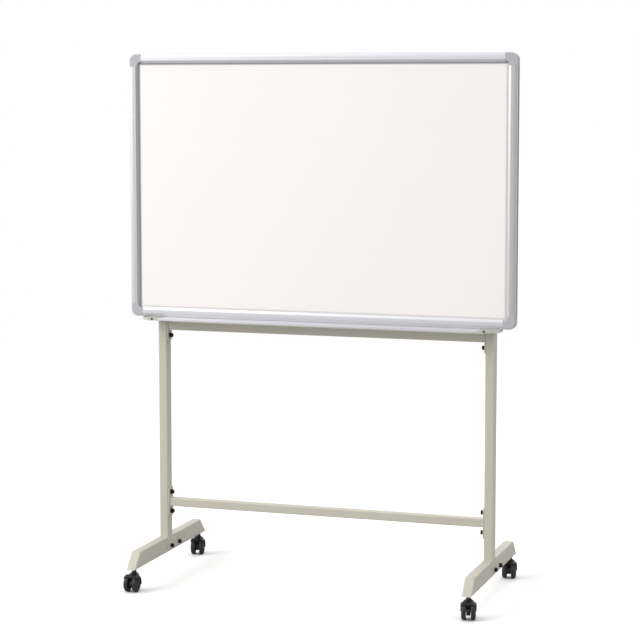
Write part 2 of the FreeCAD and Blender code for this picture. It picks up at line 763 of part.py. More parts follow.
# ---------------------------------------------------------------- stand
def make_uprights():
    """Two rectangular tubes with holes for the crossbar bolts and bracket screws, and their end plugs."""
    wide, deep, wall = size("upright_width"), size("upright_depth"), size("upright_wall")
    radius = size("upright_radius")
    height = UPRIGHT_TOP - FOOT_TOP
    for word, side in SIDES.items():
        body = new_body(f"upright_{word}_tube")
        sketch = new_sketch(body, "XY_Plane")
        rounded_rectangle(sketch, 0, 0, wide, deep, radius)
        rounded_rectangle(sketch, 0, 0, wide - wall * 2, deep - wall * 2, radius - wall)
        pad(body, sketch, height)
        place(body, UPRIGHT_X * side, 0, FOOT_TOP)
        holes = []
        turned = ALONG_X if side > 0 else ALONG_MINUS_X
        for level in BARS.values():
            for step in (-1, 1):
                z = level + size("plate_bolt_pitch") / 2 * step
                bore = size("bolt_radius") + size("hole_play")
                holes.append(rod(f"upright_{word}_bolt_hole", UPRIGHT_INNER * side, 0, z, bore, wall, turned))
        for level, flip in ((BOARD_BOTTOM, 1), (BOARD_TOP, -1)):
            for drop in WEB_SCREWS:
                x, z = UPRIGHT_X * side, level + drop * flip
                holes.append(
                    rod(f"upright_{word}_web_hole", x, UPRIGHT_FRONT, z, BRACKET_BORE, wall, ALONG_Y)
                )
        keep(cut(f"upright_{word}_cut", body, holes), f"upright_{word}")

        plug = new_body(f"upright_cap_{word}_top")
        sketch = new_sketch(plug, "XY_Plane")
        rounded_rectangle(sketch, 0, 0, wide, deep, radius)
        pad(plug, sketch, size("plug_thick"))
        DOC.recompute()
        top = size("plug_thick").value
        fillet_edges(plug, size("plug_edge_radius"), lambda p: near(p.z, top))
        place(plug, UPRIGHT_X * side, 0, UPRIGHT_TOP)
        narrower = (wall + size("plug_play")) * 2
        insert = new_body(f"upright_cap_{word}_insert")
        sketch = new_sketch(insert, "XY_Plane")
        rounded_rectangle(sketch, 0, 0, wide - narrower, deep - narrower, radius - wall)
        pad(insert, sketch, size("plug_depth"))
        place(insert, UPRIGHT_X * side, 0, UPRIGHT_TOP - size("plug_depth"))
        keep(fuse(f"upright_cap_{word}_whole", [plug, insert]), f"upright_cap_{word}")


def make_crossbars():
    """Two tubes between the uprights, with an end plate, two bolts and two washers at each end."""
    plate, plate_wide, plate_high = size("plate_thick"), size("plate_width"), size("plate_high")
    wall, run = size("crossbar_wall"), (UPRIGHT_INNER - size("plate_thick")) * 2
    bolts, washers = [], []
    for row, level in BARS.items():
        body = new_body(f"{row}_crossbar_tube")
        sketch = new_sketch(body, "YZ_Plane")
        deep, high, radius = size("crossbar_depth"), size("crossbar_high"), size("crossbar_radius")
        rounded_rectangle(sketch, 0, 0, deep, high, radius)
        rounded_rectangle(sketch, 0, 0, deep - wall * 2, high - wall * 2, radius - wall)
        pad(body, sketch, run)
        place(body, -run / 2, 0, level)
        keep(body, f"{row}_crossbar")
        plates = []
        for word, side in SIDES.items():
            name = f"{row}_plate_{word}"
            flat = new_body(f"{name}_flat")
            sketch = new_sketch(flat, "YZ_Plane")
            rounded_rectangle(sketch, 0, 0, plate_wide, plate_high, size("plate_radius"))
            pad(flat, sketch, plate)
            fillet_edges(flat, size("plate_edge_radius"), lambda p: near(p.x, 0) or near(p.x, plate.value))
            inner_face = (UPRIGHT_INNER - plate) * side
            place(flat, inner_face if side > 0 else -UPRIGHT_INNER, 0, level)
            inward = ALONG_MINUS_X if side > 0 else ALONG_X
            outward = ALONG_X if side > 0 else ALONG_MINUS_X
            holes = []
            for step in (-1, 1):
                z = level + size("plate_bolt_pitch") / 2 * step
                bore = size("bolt_radius") + size("hole_play")
                holes.append(rod(f"{name}_hole", inner_face, 0, z, bore, plate, outward))
                washers.append(
                    washer(
                        f"{name}_washer", inner_face, 0, z, inward, size("washer_radius"), bore,
                        size("washer_thick"),
                    )
                )
                seat = (UPRIGHT_INNER - plate - size("washer_thick")) * side
                bolts.append(
                    socket_screw(
                        f"{name}_bolt", seat, 0, z, inward, size("bolt_head_radius"), size("bolt_head_high"),
                        size("bolt_radius"), size("bolt_length"), size("bolt_socket"),
                    )
                )
            plates.append(cut(name, flat, holes))
        keep(group(f"{row}_crossbar_plates_group", plates), f"{row}_crossbar_plates")
    keep(group("crossbar_bolts_group", bolts), "crossbar_bolts")
    keep(group("crossbar_washers_group", washers), "crossbar_washers")


# ---------------------------------------------------------------- feet
def foot_profile(inset, seam, tip, toward_front):
    """A foot's side outline, or its hollow when inset is a wall: square at the seam, slanted at the tip."""
    inset = as_size(inset)
    sign = -1 if toward_front else 1
    slant = size("foot_slant")
    high = size("foot_high")
    steep = math.hypot(slant.value, high.value)
    lean = inset * (steep / high.value)
    shift = slant / high.value
    low_tip = tip - (lean + shift * inset.value) * sign
    high_tip = tip - (slant + lean - shift * inset.value) * sign
    return [(seam, inset), (low_tip, inset), (high_tip, high - inset), (seam, high - inset)]


def make_feet():
    """On each side a rear foot that the upright stands on and a front foot whose tongue plugs into it."""
    wide, wall, high = size("foot_width"), size("foot_wall"), size("foot_high")
    seam, tongue_end = -size("seam_ahead"), size("tongue_behind")
    front_seam = seam - size("seam_gap")
    bolts, washers = [], []
    for word, side in SIDES.items():
        x = UPRIGHT_X * side
        blanks = {}
        halves = (
            ("rear", size("foot_rear_reach"), seam, False),
            ("front", -size("foot_front_reach"), front_seam, True),
        )
        for half, tip, mouth, forward in halves:
            body = new_body(f"{half}_foot_{word}_tube")
            sketch = new_sketch(body, "YZ_Plane")
            outline(sketch, foot_profile(0, mouth, tip, forward))
            pad(body, sketch, wide, both_ways=True)
            DOC.recompute()
            at_seam = edges_where(body.Shape, lambda p: near(p.y, mouth.value))
            fillet_edges(body, size("foot_radius"), lambda p: near(abs(p.x), wide.value / 2), at_seam)
            hollow = new_sketch(body, "YZ_Plane")
            beyond = mouth + (1 if forward else -1)
            outline(hollow, foot_profile(wall, beyond, tip, forward))
            pocket(body, hollow, wide - wall * 2, both_ways=True)
            place(body, x, 0, FOOT_BOTTOM)
            stem_y = STEM_FRONT if forward else STEM_REAR
            bore = rod(f"{half}_foot_{word}_bore", x, stem_y, FOOT_BOTTOM, size("socket_radius"), wall)
            blanks[half] = cut(f"{half}_foot_{word}_bored", body, [bore])
        play = size("tongue_play")
        tongue_wide, tongue_high = wide - (wall + play) * 2, high - (wall + play) * 2
        tongue_wall, tongue_radius = size("tongue_wall"), size("tongue_radius")
        tongue_body = new_body(f"front_foot_{word}_tongue")
        sketch = new_sketch(tongue_body, "XZ_Plane")
        rounded_rectangle(sketch, 0, high / 2, tongue_wide, tongue_high, tongue_radius)
        inner_wide, inner_high = tongue_wide - tongue_wall * 2, tongue_high - tongue_wall * 2
        rounded_rectangle(sketch, 0, high / 2, inner_wide, inner_high, tongue_radius - tongue_wall)
        collar_start, collar_length = seam - size("tongue_overlap"), size("collar_length")
        pad(tongue_body, sketch, tongue_end - collar_start, backward=True)
        place(tongue_body, x, collar_start, FOOT_BOTTOM)
        collar = block(
            f"front_foot_{word}_collar", x - wide / 2 + wall / 2, collar_start, FOOT_BOTTOM + wall / 2,
            wide - wall, collar_length, high - wall,
        )
        inner_bore = block(
            f"front_foot_{word}_collar_bore", x - tongue_wide / 2 + tongue_wall / 2, collar_start,
            FOOT_BOTTOM + wall + play + tongue_wall / 2, tongue_wide - tongue_wall, collar_length,
            tongue_high - tongue_wall,
        )
        ring = cut(f"front_foot_{word}_ring", collar, [inner_bore])
        front = fuse(f"front_foot_{word}_joined", [blanks["front"], tongue_body, ring])
        rear_holes, front_holes = [], []
        z = FOOT_BOTTOM + size("foot_bolt_level")
        outer_face = x + wide / 2
        for step in (0, 1):
            y = size("foot_bolt_first") + size("foot_bolt_pitch") * step
            bore = size("foot_bolt_radius") + size("hole_play")
            rear_holes.append(rod(f"rear_foot_{word}_hole", outer_face, y, z, bore, wall, ALONG_MINUS_X))
            reach = wall + play * 2 + tongue_wall
            front_holes.append(rod(f"front_foot_{word}_hole", outer_face, y, z, bore, reach, ALONG_MINUS_X))
            washers.append(
                washer(
                    f"foot_{word}_washer", outer_face, y, z, ALONG_X, size("foot_washer_radius"), bore,
                    size("foot_washer_thick"),
                )
            )
            bolts.append(
                socket_screw(
                    f"foot_{word}_bolt", outer_face + size("foot_washer_thick"), y, z, ALONG_X,
                    size("foot_bolt_head_radius"), size("foot_bolt_head_high"), size("foot_bolt_radius"),
                    size("foot_bolt_length"), size("foot_bolt_socket"),
                )
            )
        keep(cut(f"rear_foot_{word}_cut", blanks["rear"], rear_holes), f"rear_foot_{word}")
        keep(cut(f"front_foot_{word}_cut", front, front_holes), f"front_foot_{word}")
    keep(group("foot_bolts_group", bolts), "foot_bolts")
    keep(group("foot_washers_group", washers), "foot_washers")


# ---------------------------------------------------------------- casters
def make_socket(name, x, y):
    """The flanged bush in the foot's underside that a caster's stem turns in."""
    flange, play = size("socket_flange"), size("stem_play")
    sleeve = rod(f"{name}_sleeve", x, y, FOOT_BOTTOM, size("socket_radius"), size("socket_high"))
    rim = rod(f"{name}_rim", x, y, FOOT_BOTTOM - flange, size("socket_flange_radius"), flange)
    bore = rod(
        f"{name}_bore", x, y, FOOT_BOTTOM - flange, size("stem_radius") + play, flange + size("socket_high")
    )
    return cut(name, fuse(f"{name}_blank", [sleeve, rim]), [bore])


def make_hood_shell(word):
    """The hood's crown and short side skirts: a rounded channel swept about the axle over both wheels."""
    thick = size("hood_thick")
    half = size("wheel_gap") / 2 + size("wheel_thick") + size("hood_side_play") + thick
    rim = HOOD_OUTER - size("hood_skirt")
    body = new_body(f"caster_{word}_shell")
    sketch = new_sketch(body, "XY_Plane")
    outline(
        sketch,
        [
            (-half, rim), (-half, HOOD_OUTER, size("hood_round")), (half, HOOD_OUTER, size("hood_round")),
            (half, rim), (half - thick, rim), (half - thick, HOOD_INNER, size("hood_round") - thick),
            (thick - half, HOOD_INNER, size("hood_round") - thick), (thick - half, rim),
        ],
    )
    swept = body.newObject("PartDesign::Revolution", f"{body.Name}_revolution")
    swept.Profile = sketch
    swept.ReferenceAxis = (sketch, ["H_Axis"])
    swept.Angle = HOOD_SWEEP
    swept.Midplane = True
    middle = FreeCAD.Rotation(FreeCAD.Vector(1, 0, 0), HOOD_FROM + HOOD_SWEEP / 2)
    return place(body, 0, -size("caster_trail"), size("wheel_radius"), middle)


def make_caster(word, x, y, degrees):
    """One twin-wheel caster, swung about its stem: stem, hood with its web and neck, axle and two wheels."""
    swing = FreeCAD.Rotation(FreeCAD.Vector(0, 0, 1), degrees)
    turn = math.radians(degrees)
    trail, level = size("caster_trail"), size("wheel_radius")
    neck_top = FOOT_BOTTOM - size("socket_flange") - size("swivel_gap")
    stem_low = level + size("hub_radius") + size("stem_margin")
    stem_top = FOOT_BOTTOM + size("socket_high") - size("stem_margin")
    stem = rod(f"caster_{word}_stem_rod", x, y, stem_low, size("stem_radius"), stem_top - stem_low, swing)
    keep(stem, f"caster_{word}_stem")

    web = size("wheel_gap") - size("web_play") * 2
    wedge_turn = FreeCAD.Rotation(FreeCAD.Vector(1, 0, 0), HOOD_FROM + 90.0).multiply(ALONG_X)
    wedge = rod(f"caster_{word}_web", -web / 2, -trail, level, HOOD_INNER + SINK, web, wedge_turn, HOOD_SWEEP)
    hub = rod(f"caster_{word}_hub", -web / 2, -trail, level, size("hub_radius"), web, ALONG_X)
    neck_low = level + size("hub_radius")
    neck = rod(f"caster_{word}_neck", 0, 0, neck_low, web / 2, neck_top - neck_low)
    blank = fuse(f"caster_{word}_hood_blank", [make_hood_shell(word), wedge, hub, neck])
    stem_bore = rod(f"caster_{word}_stem_bore", 0, 0, stem_low, size("stem_radius"), neck_top - stem_low)
    axle_bore = rod(
        f"caster_{word}_axle_bore", -web / 2, -trail, level, size("axle_radius"), web, ALONG_X
    )
    hood = cut(f"caster_{word}_hood_cut", blank, [stem_bore, axle_bore])
    place(hood, x, y, 0, swing)
    keep(hood, f"caster_{word}_hood")

    reach = size("wheel_gap") / 2 + size("wheel_thick") - size("axle_end_wall") - size("axle_end_play")
    axle_x, axle_y = x + trail * math.sin(turn), y - trail * math.cos(turn)
    axle = rod(
        f"caster_{word}_axle_rod", axle_x - reach * math.cos(turn), axle_y - reach * math.sin(turn), level,
        size("axle_radius"), reach * 2, swing.multiply(ALONG_X),
    )
    keep(axle, f"caster_{word}_axle")

    bore = size("axle_radius") + size("axle_play")
    near_face, far_face = size("wheel_gap") / 2, size("wheel_gap") / 2 + size("wheel_thick")
    blind = far_face - size("axle_end_wall")
    dish, rim_inside, slope = far_face - size("wheel_dish"), level - size("wheel_rim"), size("dish_slope")
    cap, cap_round = size("wheel_cap_radius"), size("wheel_cap_round")
    for side_word, side in SIDES.items():
        body = new_body(f"caster_{word}_wheel_{side_word}_disc")
        sketch = new_sketch(body, "XY_Plane")
        profile = [
            (near_face, bore), (near_face, level, size("wheel_edge_radius")),
            (far_face - size("wheel_crown"), level, size("wheel_round")), (far_face, rim_inside),
            (dish, rim_inside - slope), (dish, cap + slope), (far_face, cap, cap_round), (far_face, 0),
            (blind, 0), (blind, bore),
        ]
        outline(sketch, [(as_size(c[0]) * side, *c[1:]) for c in profile])
        turned = body.newObject("PartDesign::Revolution", f"{body.Name}_revolution")
        turned.Profile = sketch
        turned.ReferenceAxis = (sketch, ["H_Axis"])
        turned.Angle = 360.0
        place(body, axle_x, axle_y, level, swing)
        keep(body, f"caster_{word}_wheel_{side_word}")


def make_casters():
    """Four casters under the feet's ends, and the bushes that hold them."""
    sockets = []
    for word, degrees in CASTER_TURNS.items():
        end, side_word = word.split("_")
        x = UPRIGHT_X * SIDES[side_word]
        y = STEM_FRONT if end == "front" else STEM_REAR
        sockets.append(make_socket(f"socket_{word}", x, y))
        make_caster(word, x, y, degrees)
    keep(group("caster_sockets_group", sockets), "caster_sockets")


# ---------------------------------------------------------------- checks and export
def check_document():
    """Stops if any object failed or any sub-part has no sound shape."""
    for thing in DOC.Objects:
        bad = {"Invalid", "Error"} & set(thing.State)
        if bad:
            raise RuntimeError(f"{thing.Name} ({thing.Label}) is {bad}")
    for thing in PARTS:
        shape = thing.Shape
        if shape.isNull() or not shape.isValid() or not shape.Solids:
            raise RuntimeError(f"{thing.Label} has no valid solid")


def export_parts():
    """Writes each sub-part's shape to parts/NODE.step."""
    os.makedirs("parts", exist_ok=True)
    for thing in PARTS:
        thing.Shape.exportStep(f"parts/{thing.Label}.step")
        print(f"{thing.Label}: {len(thing.Shape.Solids)} solid(s), {thing.Shape.Volume / 1000:.2f} cm3")
    print(f"{len(PARTS)} nodes")


make_panel()
make_frame()
for cap_word, cap_side in SIDES.items():
    make_corner_cap(f"corner_cap_top_{cap_word}", cap_side, 1)
    make_corner_cap(f"corner_cap_bottom_{cap_word}", cap_side, -1)
make_tray()
make_brackets()
make_uprights()
make_crossbars()
make_feet()
make_casters()
DOC.recompute()
check_document()
export_parts()
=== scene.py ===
"""Looks of a rolling whiteboard: framed board, pen tray, two-legged stand and four twin-wheel casters.

Metres, +Z up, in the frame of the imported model. The writing side faces -Y and +X is on the right of
someone who faces it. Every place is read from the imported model; every size below has a name.
"""

import json
import logging
import math
from dataclasses import dataclass
from enum import Enum
from typing import Any, ClassVar, Iterable, Sequence

import bmesh
import bpy
import numpy as np
from mathutils import Matrix, Vector

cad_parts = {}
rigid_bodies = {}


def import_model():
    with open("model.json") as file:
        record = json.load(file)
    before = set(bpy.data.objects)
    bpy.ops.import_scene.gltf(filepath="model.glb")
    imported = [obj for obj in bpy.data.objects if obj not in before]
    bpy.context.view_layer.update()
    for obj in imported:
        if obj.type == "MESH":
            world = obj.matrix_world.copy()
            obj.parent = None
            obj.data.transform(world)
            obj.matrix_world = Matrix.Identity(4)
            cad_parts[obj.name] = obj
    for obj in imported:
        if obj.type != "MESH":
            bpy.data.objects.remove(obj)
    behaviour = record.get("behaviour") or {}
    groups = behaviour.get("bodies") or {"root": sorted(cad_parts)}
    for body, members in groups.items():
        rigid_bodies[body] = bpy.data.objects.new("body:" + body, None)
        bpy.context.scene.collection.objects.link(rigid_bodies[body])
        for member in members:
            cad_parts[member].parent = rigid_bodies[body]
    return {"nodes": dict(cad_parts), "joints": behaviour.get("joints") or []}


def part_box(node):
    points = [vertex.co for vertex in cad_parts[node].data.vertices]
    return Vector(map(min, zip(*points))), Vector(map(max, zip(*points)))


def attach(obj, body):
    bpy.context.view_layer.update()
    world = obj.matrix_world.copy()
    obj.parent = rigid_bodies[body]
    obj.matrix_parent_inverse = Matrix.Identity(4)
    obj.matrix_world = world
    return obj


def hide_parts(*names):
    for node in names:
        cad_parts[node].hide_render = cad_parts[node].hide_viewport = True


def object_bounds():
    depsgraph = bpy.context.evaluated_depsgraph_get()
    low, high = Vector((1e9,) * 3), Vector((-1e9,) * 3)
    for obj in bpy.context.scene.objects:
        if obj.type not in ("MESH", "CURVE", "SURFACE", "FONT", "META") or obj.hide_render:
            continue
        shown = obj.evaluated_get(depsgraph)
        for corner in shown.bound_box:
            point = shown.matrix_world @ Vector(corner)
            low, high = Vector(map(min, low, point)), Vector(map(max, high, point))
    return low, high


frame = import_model()
CAD_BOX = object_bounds()

LOG = logging.getLogger("rolling_whiteboard")
MM = 0.001
SHARP_ANGLE = math.radians(35.0)
SAME_POINT = 1e-6
SAME_LEVEL = 1e-5
MASK_MIDDLE = 0.5
Profile = list[tuple[float, float]]
Colour = tuple[float, float, float]


def tone(code: str) -> Colour:
    """Turns a screen colour into linear light.

    Args:
        code: Six hexadecimal digits, red first.

    Returns:
        The colour's linear red, green and blue.
    """
    channels = [int(code[i:i + 2], 16) / 255.0 for i in (0, 2, 4)]
    return tuple(c / 12.92 if c <= 0.04045 else ((c + 0.055) / 1.055) ** 2.4 for c in channels)


def placed(name: str, data: Any) -> bpy.types.Object:
    """Makes an object of a mesh, light or camera and links it into the scene."""
    thing = bpy.data.objects.new(name, data)
    bpy.context.scene.collection.objects.link(thing)
    return thing


def square_to(axis: Vector, spot: Vector) -> Vector:
    """The part of a vector that is square to an axis."""
    return spot - spot.dot(axis) * axis


# ------------------------------------------------------------------ node trees
class NodeBench:
    """A node tree under construction, with short ways to add nodes and join them.

    The Mix node has a set of sockets for each kind of data, so those of a colour go by number.
    """

    SHARE, FIRST, SECOND, MIXED = 0, 6, 7, 2

    def __init__(self, tree: bpy.types.NodeTree) -> None:
        """Takes the tree and empties it."""
        self.tree = tree
        self.tree.nodes.clear()

    def add(self, kind: str, inputs: dict[Any, Any] | None = None, **settings: Any) -> bpy.types.Node:
        """Adds a node.

        Args:
            kind: The node's type name.
            inputs: What each input gets, by the input's name or number: a value, a socket or a node.
            **settings: Properties of the node itself.

        Returns:
            The new node.
        """
        node = self.tree.nodes.new(kind)
        for name, value in settings.items():
            setattr(node, name, value)
        for key, value in (inputs or {}).items():
            self.feed(node.inputs[key], value)
        return node

    def feed(self, socket: bpy.types.NodeSocket, value: Any) -> None:
        """Joins a socket or a node's first output to an input, or sets the input to a plain value."""
        if isinstance(value, bpy.types.Node):
            value = value.outputs[0]
        if isinstance(value, bpy.types.NodeSocket):
            self.tree.links.new(value, socket)
        else:
            socket.default_value = value

    def sum(self, operation: str, *values: Any) -> bpy.types.NodeSocket:
        """Adds a math node.

        Args:
            operation: The math node's operation.
            *values: Its operands, each a number, a socket or a node.

        Returns:
            The result's socket.
        """
        node = self.tree.nodes.new("ShaderNodeMath")
        node.operation = operation
        for socket, value in zip(node.inputs, values):
            self.feed(socket, value)
        return node.outputs[0]

    def vector_sum(self, operation: str, inputs: dict[Any, Any]) -> bpy.types.NodeSocket:
        """Adds a vector math node and gives its vector output."""
        return self.add("ShaderNodeVectorMath", inputs, operation=operation).outputs["Vector"]

    def noise(self, place: Any, scale: Any, detail: float, roughness: float = 0.5) -> bpy.types.NodeOutputs:
        """Adds a noise texture and gives its outputs."""
        return self.add("ShaderNodeTexNoise", {"Vector": place, "Scale": scale, "Detail": detail,
                                               "Roughness": roughness}).outputs

    def cells(self, place: Any, scale: Any, feature: str = "F1") -> bpy.types.NodeOutputs:
        """Adds a Voronoi texture and gives its outputs."""
        return self.add("ShaderNodeTexVoronoi", {"Vector": place, "Scale": scale}, feature=feature).outputs

    def ramp(self, value: Any, start: float, end: Any, low: float = 0.0,
             high: float = 1.0) -> bpy.types.NodeSocket:
        """Maps a value between start and end to one between low and high."""
        return self.add("ShaderNodeMapRange", {"Value": value, "From Min": start, "From Max": end,
                                               "To Min": low, "To Max": high}).outputs["Result"]

    def axis(self, vector: Any, name: str) -> bpy.types.NodeSocket:
        """Gives one component of a vector."""
        return self.add("ShaderNodeSeparateXYZ", {"Vector": vector}).outputs[name]

    def close(self, results: dict[str, Any]) -> bpy.types.NodeTree:
        """Ends a group with its output node and gives its tree."""
        self.add("NodeGroupOutput", results)
        return self.tree

    def group(self, tree: bpy.types.NodeTree, inputs: dict[Any, Any]) -> bpy.types.NodeOutputs:
        """Places a shader group, feeds its inputs and gives its outputs."""
        return self.add("ShaderNodeGroup", inputs, node_tree=tree).outputs

    def tint(self, share: Any, first: Any, second: Any) -> bpy.types.NodeSocket:
        """Mixes two colours and gives the result's socket."""
        mixed = self.add("ShaderNodeMix", {self.SHARE: share, self.FIRST: first, self.SECOND: second},
                         data_type="RGBA")
        return mixed.outputs[self.MIXED]


@dataclass(frozen=True)
class Port:
    """A named input or output of a node group.

    Attributes:
        name: What it is called.
        kind: The socket's type name.
    """

    name: str
    kind: str = "NodeSocketFloat"


def new_group(name: str, kind: str, inputs: Iterable[Port | str],
              outputs: Iterable[Port | str]) -> bpy.types.NodeTree:
    """Makes an empty node group with its ports.

    Args:
        name: The group's name.
        kind: The tree's type name.
        inputs: Its input ports; a plain name stands for the port of a number.
        outputs: Its output ports, in the same way.

    Returns:
        The new tree.
    """
    tree = bpy.data.node_groups.new(name, kind)
    for way, ports in (("INPUT", inputs), ("OUTPUT", outputs)):
        for port in (Port(each) if isinstance(each, str) else each for each in ports):
            tree.interface.new_socket(port.name, in_out=way, socket_type=port.kind)
    return tree


# ------------------------------------------------------------------ shared surface effects
class SurfaceEffects:
    """The shader groups that several finishes share, each built once."""

    PLACE = Port("Vector", "NodeSocketVector")
    BROAD_SHARE = 0.12  # of the scale of drawn lines: that of their broad streaks
    BEND_SCALE = 5.0  # how closely scratches wind
    BEND = 0.35  # how far they wind
    PATCH_SCALE = 9.0  # how small the scratched patches are
    PATCH_FROM = 0.56  # the noise above which a patch is scratched
    DUST_SCALE = 160.0
    FROST_SCALE = 400.0
    FROST_SHARE = 0.3  # how much frost breaks up a zinc facet

    def __init__(self) -> None:
        """Builds every group."""
        self.mottle = self._mottle()
        self.grain = self._grain()
        self.drawn_lines = self._drawn_lines()
        self.fine_scratches = self._fine_scratches()
        self.settled_dust = self._settled_dust()
        self.spangle = self._spangle()

    def _start(self, name: str, inputs: Iterable[Port | str],
               outputs: Iterable[Port | str]) -> tuple[NodeBench, Any]:
        """Makes a group with the place as its first input, and gives its bench and inputs."""
        bench = NodeBench(new_group(name, "ShaderNodeTree", [self.PLACE, *inputs], outputs))
        return bench, bench.add("NodeGroupInput").outputs

    def _mottle(self) -> bpy.types.NodeTree:
        """Broad, faint variation of a colour, with the same pattern as a mask."""
        tint = Port("Color", "NodeSocketColor")
        bench, given = self._start("mottle", [tint, "Scale", "Spread"], [tint, "Mask"])
        mask = bench.noise(given["Vector"], given["Scale"], detail=4.0, roughness=0.55)["Fac"]
        share = bench.sum("MULTIPLY_ADD", bench.sum("SUBTRACT", mask, MASK_MIDDLE), given["Spread"], 1.0)
        colour = bench.vector_sum("SCALE", {"Vector": given["Color"], "Scale": share})
        return bench.close({"Color": colour, "Mask": mask})

    def _grain(self) -> bpy.types.NodeTree:
        """The small even bumps of powder paint or of a textured mould."""
        bench, given = self._start("grain", ["Scale", "Softness"], ["Height"])
        coarse = bench.noise(given["Vector"], given["Scale"], detail=2.0)["Fac"]
        round_cells = bench.cells(given["Vector"], given["Scale"], "SMOOTH_F1")["Distance"]
        blend = bench.add("ShaderNodeMix", {"Factor": given["Softness"], "A": round_cells, "B": coarse})
        return bench.close({"Height": blend})

    def _drawn_lines(self) -> bpy.types.NodeTree:
        """Fine lines that an extrusion die or a brush leaves, along the axis that Squeeze makes small."""
        squeeze = Port("Squeeze", "NodeSocketVector")
        bench, given = self._start("drawn_lines", [squeeze, "Scale"], ["Height", "Mask"])
        squeezed = bench.vector_sum("MULTIPLY", {0: given["Vector"], 1: given["Squeeze"]})
        fine = bench.noise(squeezed, given["Scale"], detail=3.0, roughness=0.7)["Fac"]
        broad = bench.noise(squeezed, bench.sum("MULTIPLY", given["Scale"], self.BROAD_SHARE), detail=2.0)
        return bench.close({"Height": fine, "Mask": broad["Fac"]})

    def _fine_scratches(self) -> bpy.types.NodeTree:
        """A sparse web of hairline marks: 1 on a mark and 0 elsewhere."""
        bench, given = self._start("fine_scratches", ["Scale", "Width"], ["Mask"])
        bent = bench.noise(given["Vector"], self.BEND_SCALE, detail=1.0)["Color"]
        shift = bench.vector_sum("SCALE", {"Vector": bent, "Scale": self.BEND})
        place = bench.vector_sum("ADD", {0: given["Vector"], 1: shift})
        edge = bench.cells(place, given["Scale"], "DISTANCE_TO_EDGE")["Distance"]
        line = bench.sum("LESS_THAN", edge, given["Width"])
        patch = bench.noise(given["Vector"], self.PATCH_SCALE, detail=2.0)["Fac"]
        kept = bench.sum("GREATER_THAN", patch, self.PATCH_FROM)
        return bench.close({"Mask": bench.sum("MULTIPLY", line, kept)})

    def _settled_dust(self) -> bpy.types.NodeTree:
        """Dust near the floor: strongest at Z = 0 and gone at Reach, broken up by noise."""
        bench, given = self._start("settled_dust", ["Reach", "Amount"], ["Mask"])
        fade = bench.ramp(bench.axis(given["Vector"], "Z"), 0.0, given["Reach"], low=1.0, high=0.0)
        broken = bench.noise(given["Vector"], self.DUST_SCALE, detail=4.0)["Fac"]
        return bench.close({"Mask": bench.sum("MULTIPLY", bench.sum("MULTIPLY", fade, broken),
                                              given["Amount"])})

    def _spangle(self) -> bpy.types.NodeTree:
        """The crystal facets of hot-dip zinc, as a mask from 0 to 1."""
        bench, given = self._start("spangle", ["Scale"], ["Mask"])
        facet = bench.axis(bench.cells(given["Vector"], given["Scale"])["Color"], "X")
        frost = bench.noise(given["Vector"], self.FROST_SCALE, detail=3.0)["Fac"]
        return bench.close({"Mask": bench.add("ShaderNodeMix", {"Factor": self.FROST_SHARE, "A": facet,
                                                                "B": frost})})


# ------------------------------------------------------------------ finishes
@dataclass(frozen=True)
class Finish:
    """A finish with a faintly mottled colour, an uneven gloss and a fine grain.

    Attributes:
        name: The material's name.
        colour: Linear base colour.
        roughness: The middle roughness.
        slot: The record's material slot that it stands for; not used.
        metallic: 1 for bare metal.
        spread: How far the colour swings about its middle.
        blotch: How many blotches there are to a metre.
        gloss_swing: How far the roughness swings.
        grain_scale: How many grains there are to a metre.
        grain_softness: 0 for round cells, 1 for plain noise.
        grain_depth: The grain's height in metres.
        coat: The weight of a clear coat.
    """

    name: str
    colour: Colour
    roughness: float
    slot: str
    metallic: float = 0.0
    spread: float = 0.05
    blotch: float = 6.0
    gloss_swing: float = 0.08
    grain_scale: float = 1200.0
    grain_softness: float = 0.5
    grain_depth: float = 0.00002
    coat: float = 0.0

    def material(self, effects: SurfaceEffects) -> bpy.types.Material:
        """Builds the material.

        Args:
            effects: The shared shader groups.

        Returns:
            The new material.
        """
        material = bpy.data.materials.new(self.name)
        material.use_nodes = True
        bench = NodeBench(material.node_tree)
        place = bench.add("ShaderNodeTexCoord").outputs["Object"]
        shader = bench.add("ShaderNodeBsdfPrincipled", {"Metallic": self.metallic, "Coat Weight": self.coat})
        mottle = bench.group(effects.mottle, {
            "Vector": place, "Color": (*self.colour, 1.0), "Scale": self.blotch, "Spread": self.spread,
        })
        colour, gloss = self.surface(bench, effects, place, mottle["Color"], mottle["Mask"])
        bench.feed(shader.inputs["Base Color"], colour)
        bench.feed(shader.inputs["Roughness"], gloss)
        bump = bench.add("ShaderNodeBump", {"Strength": 1.0, "Distance": self.grain_depth,
                                            "Height": self.relief(bench, effects, place)})
        bench.feed(shader.inputs["Normal"], bump)
        bench.add("ShaderNodeOutputMaterial", {"Surface": shader})
        return material

    def surface(self, bench: NodeBench, effects: SurfaceEffects, place: Any, colour: Any,
                mask: Any) -> tuple[Any, Any]:
        """Gives the colour and roughness sockets; a special finish adds its own marks here."""
        return colour, self.gloss(bench, mask, self.gloss_swing)

    def gloss(self, bench: NodeBench, mask: Any, swing: float) -> Any:
        """Gives a roughness that a mask swings about its middle."""
        return bench.sum("MULTIPLY_ADD", bench.sum("SUBTRACT", mask, MASK_MIDDLE), swing, self.roughness)

    def relief(self, bench: NodeBench, effects: SurfaceEffects, place: Any) -> Any:
        """Gives the socket of the surface's height."""
        grain = bench.group(effects.grain, {
            "Vector": place, "Scale": self.grain_scale, "Softness": self.grain_softness,
        })
        return grain["Height"]


class Run(Enum):
    """The way that drawn lines run, as the pattern's squeeze along X, Y and Z."""

    ALONG_X = (0.004, 1.0, 1.0)
    ALONG_Z = (1.0, 1.0, 0.004)


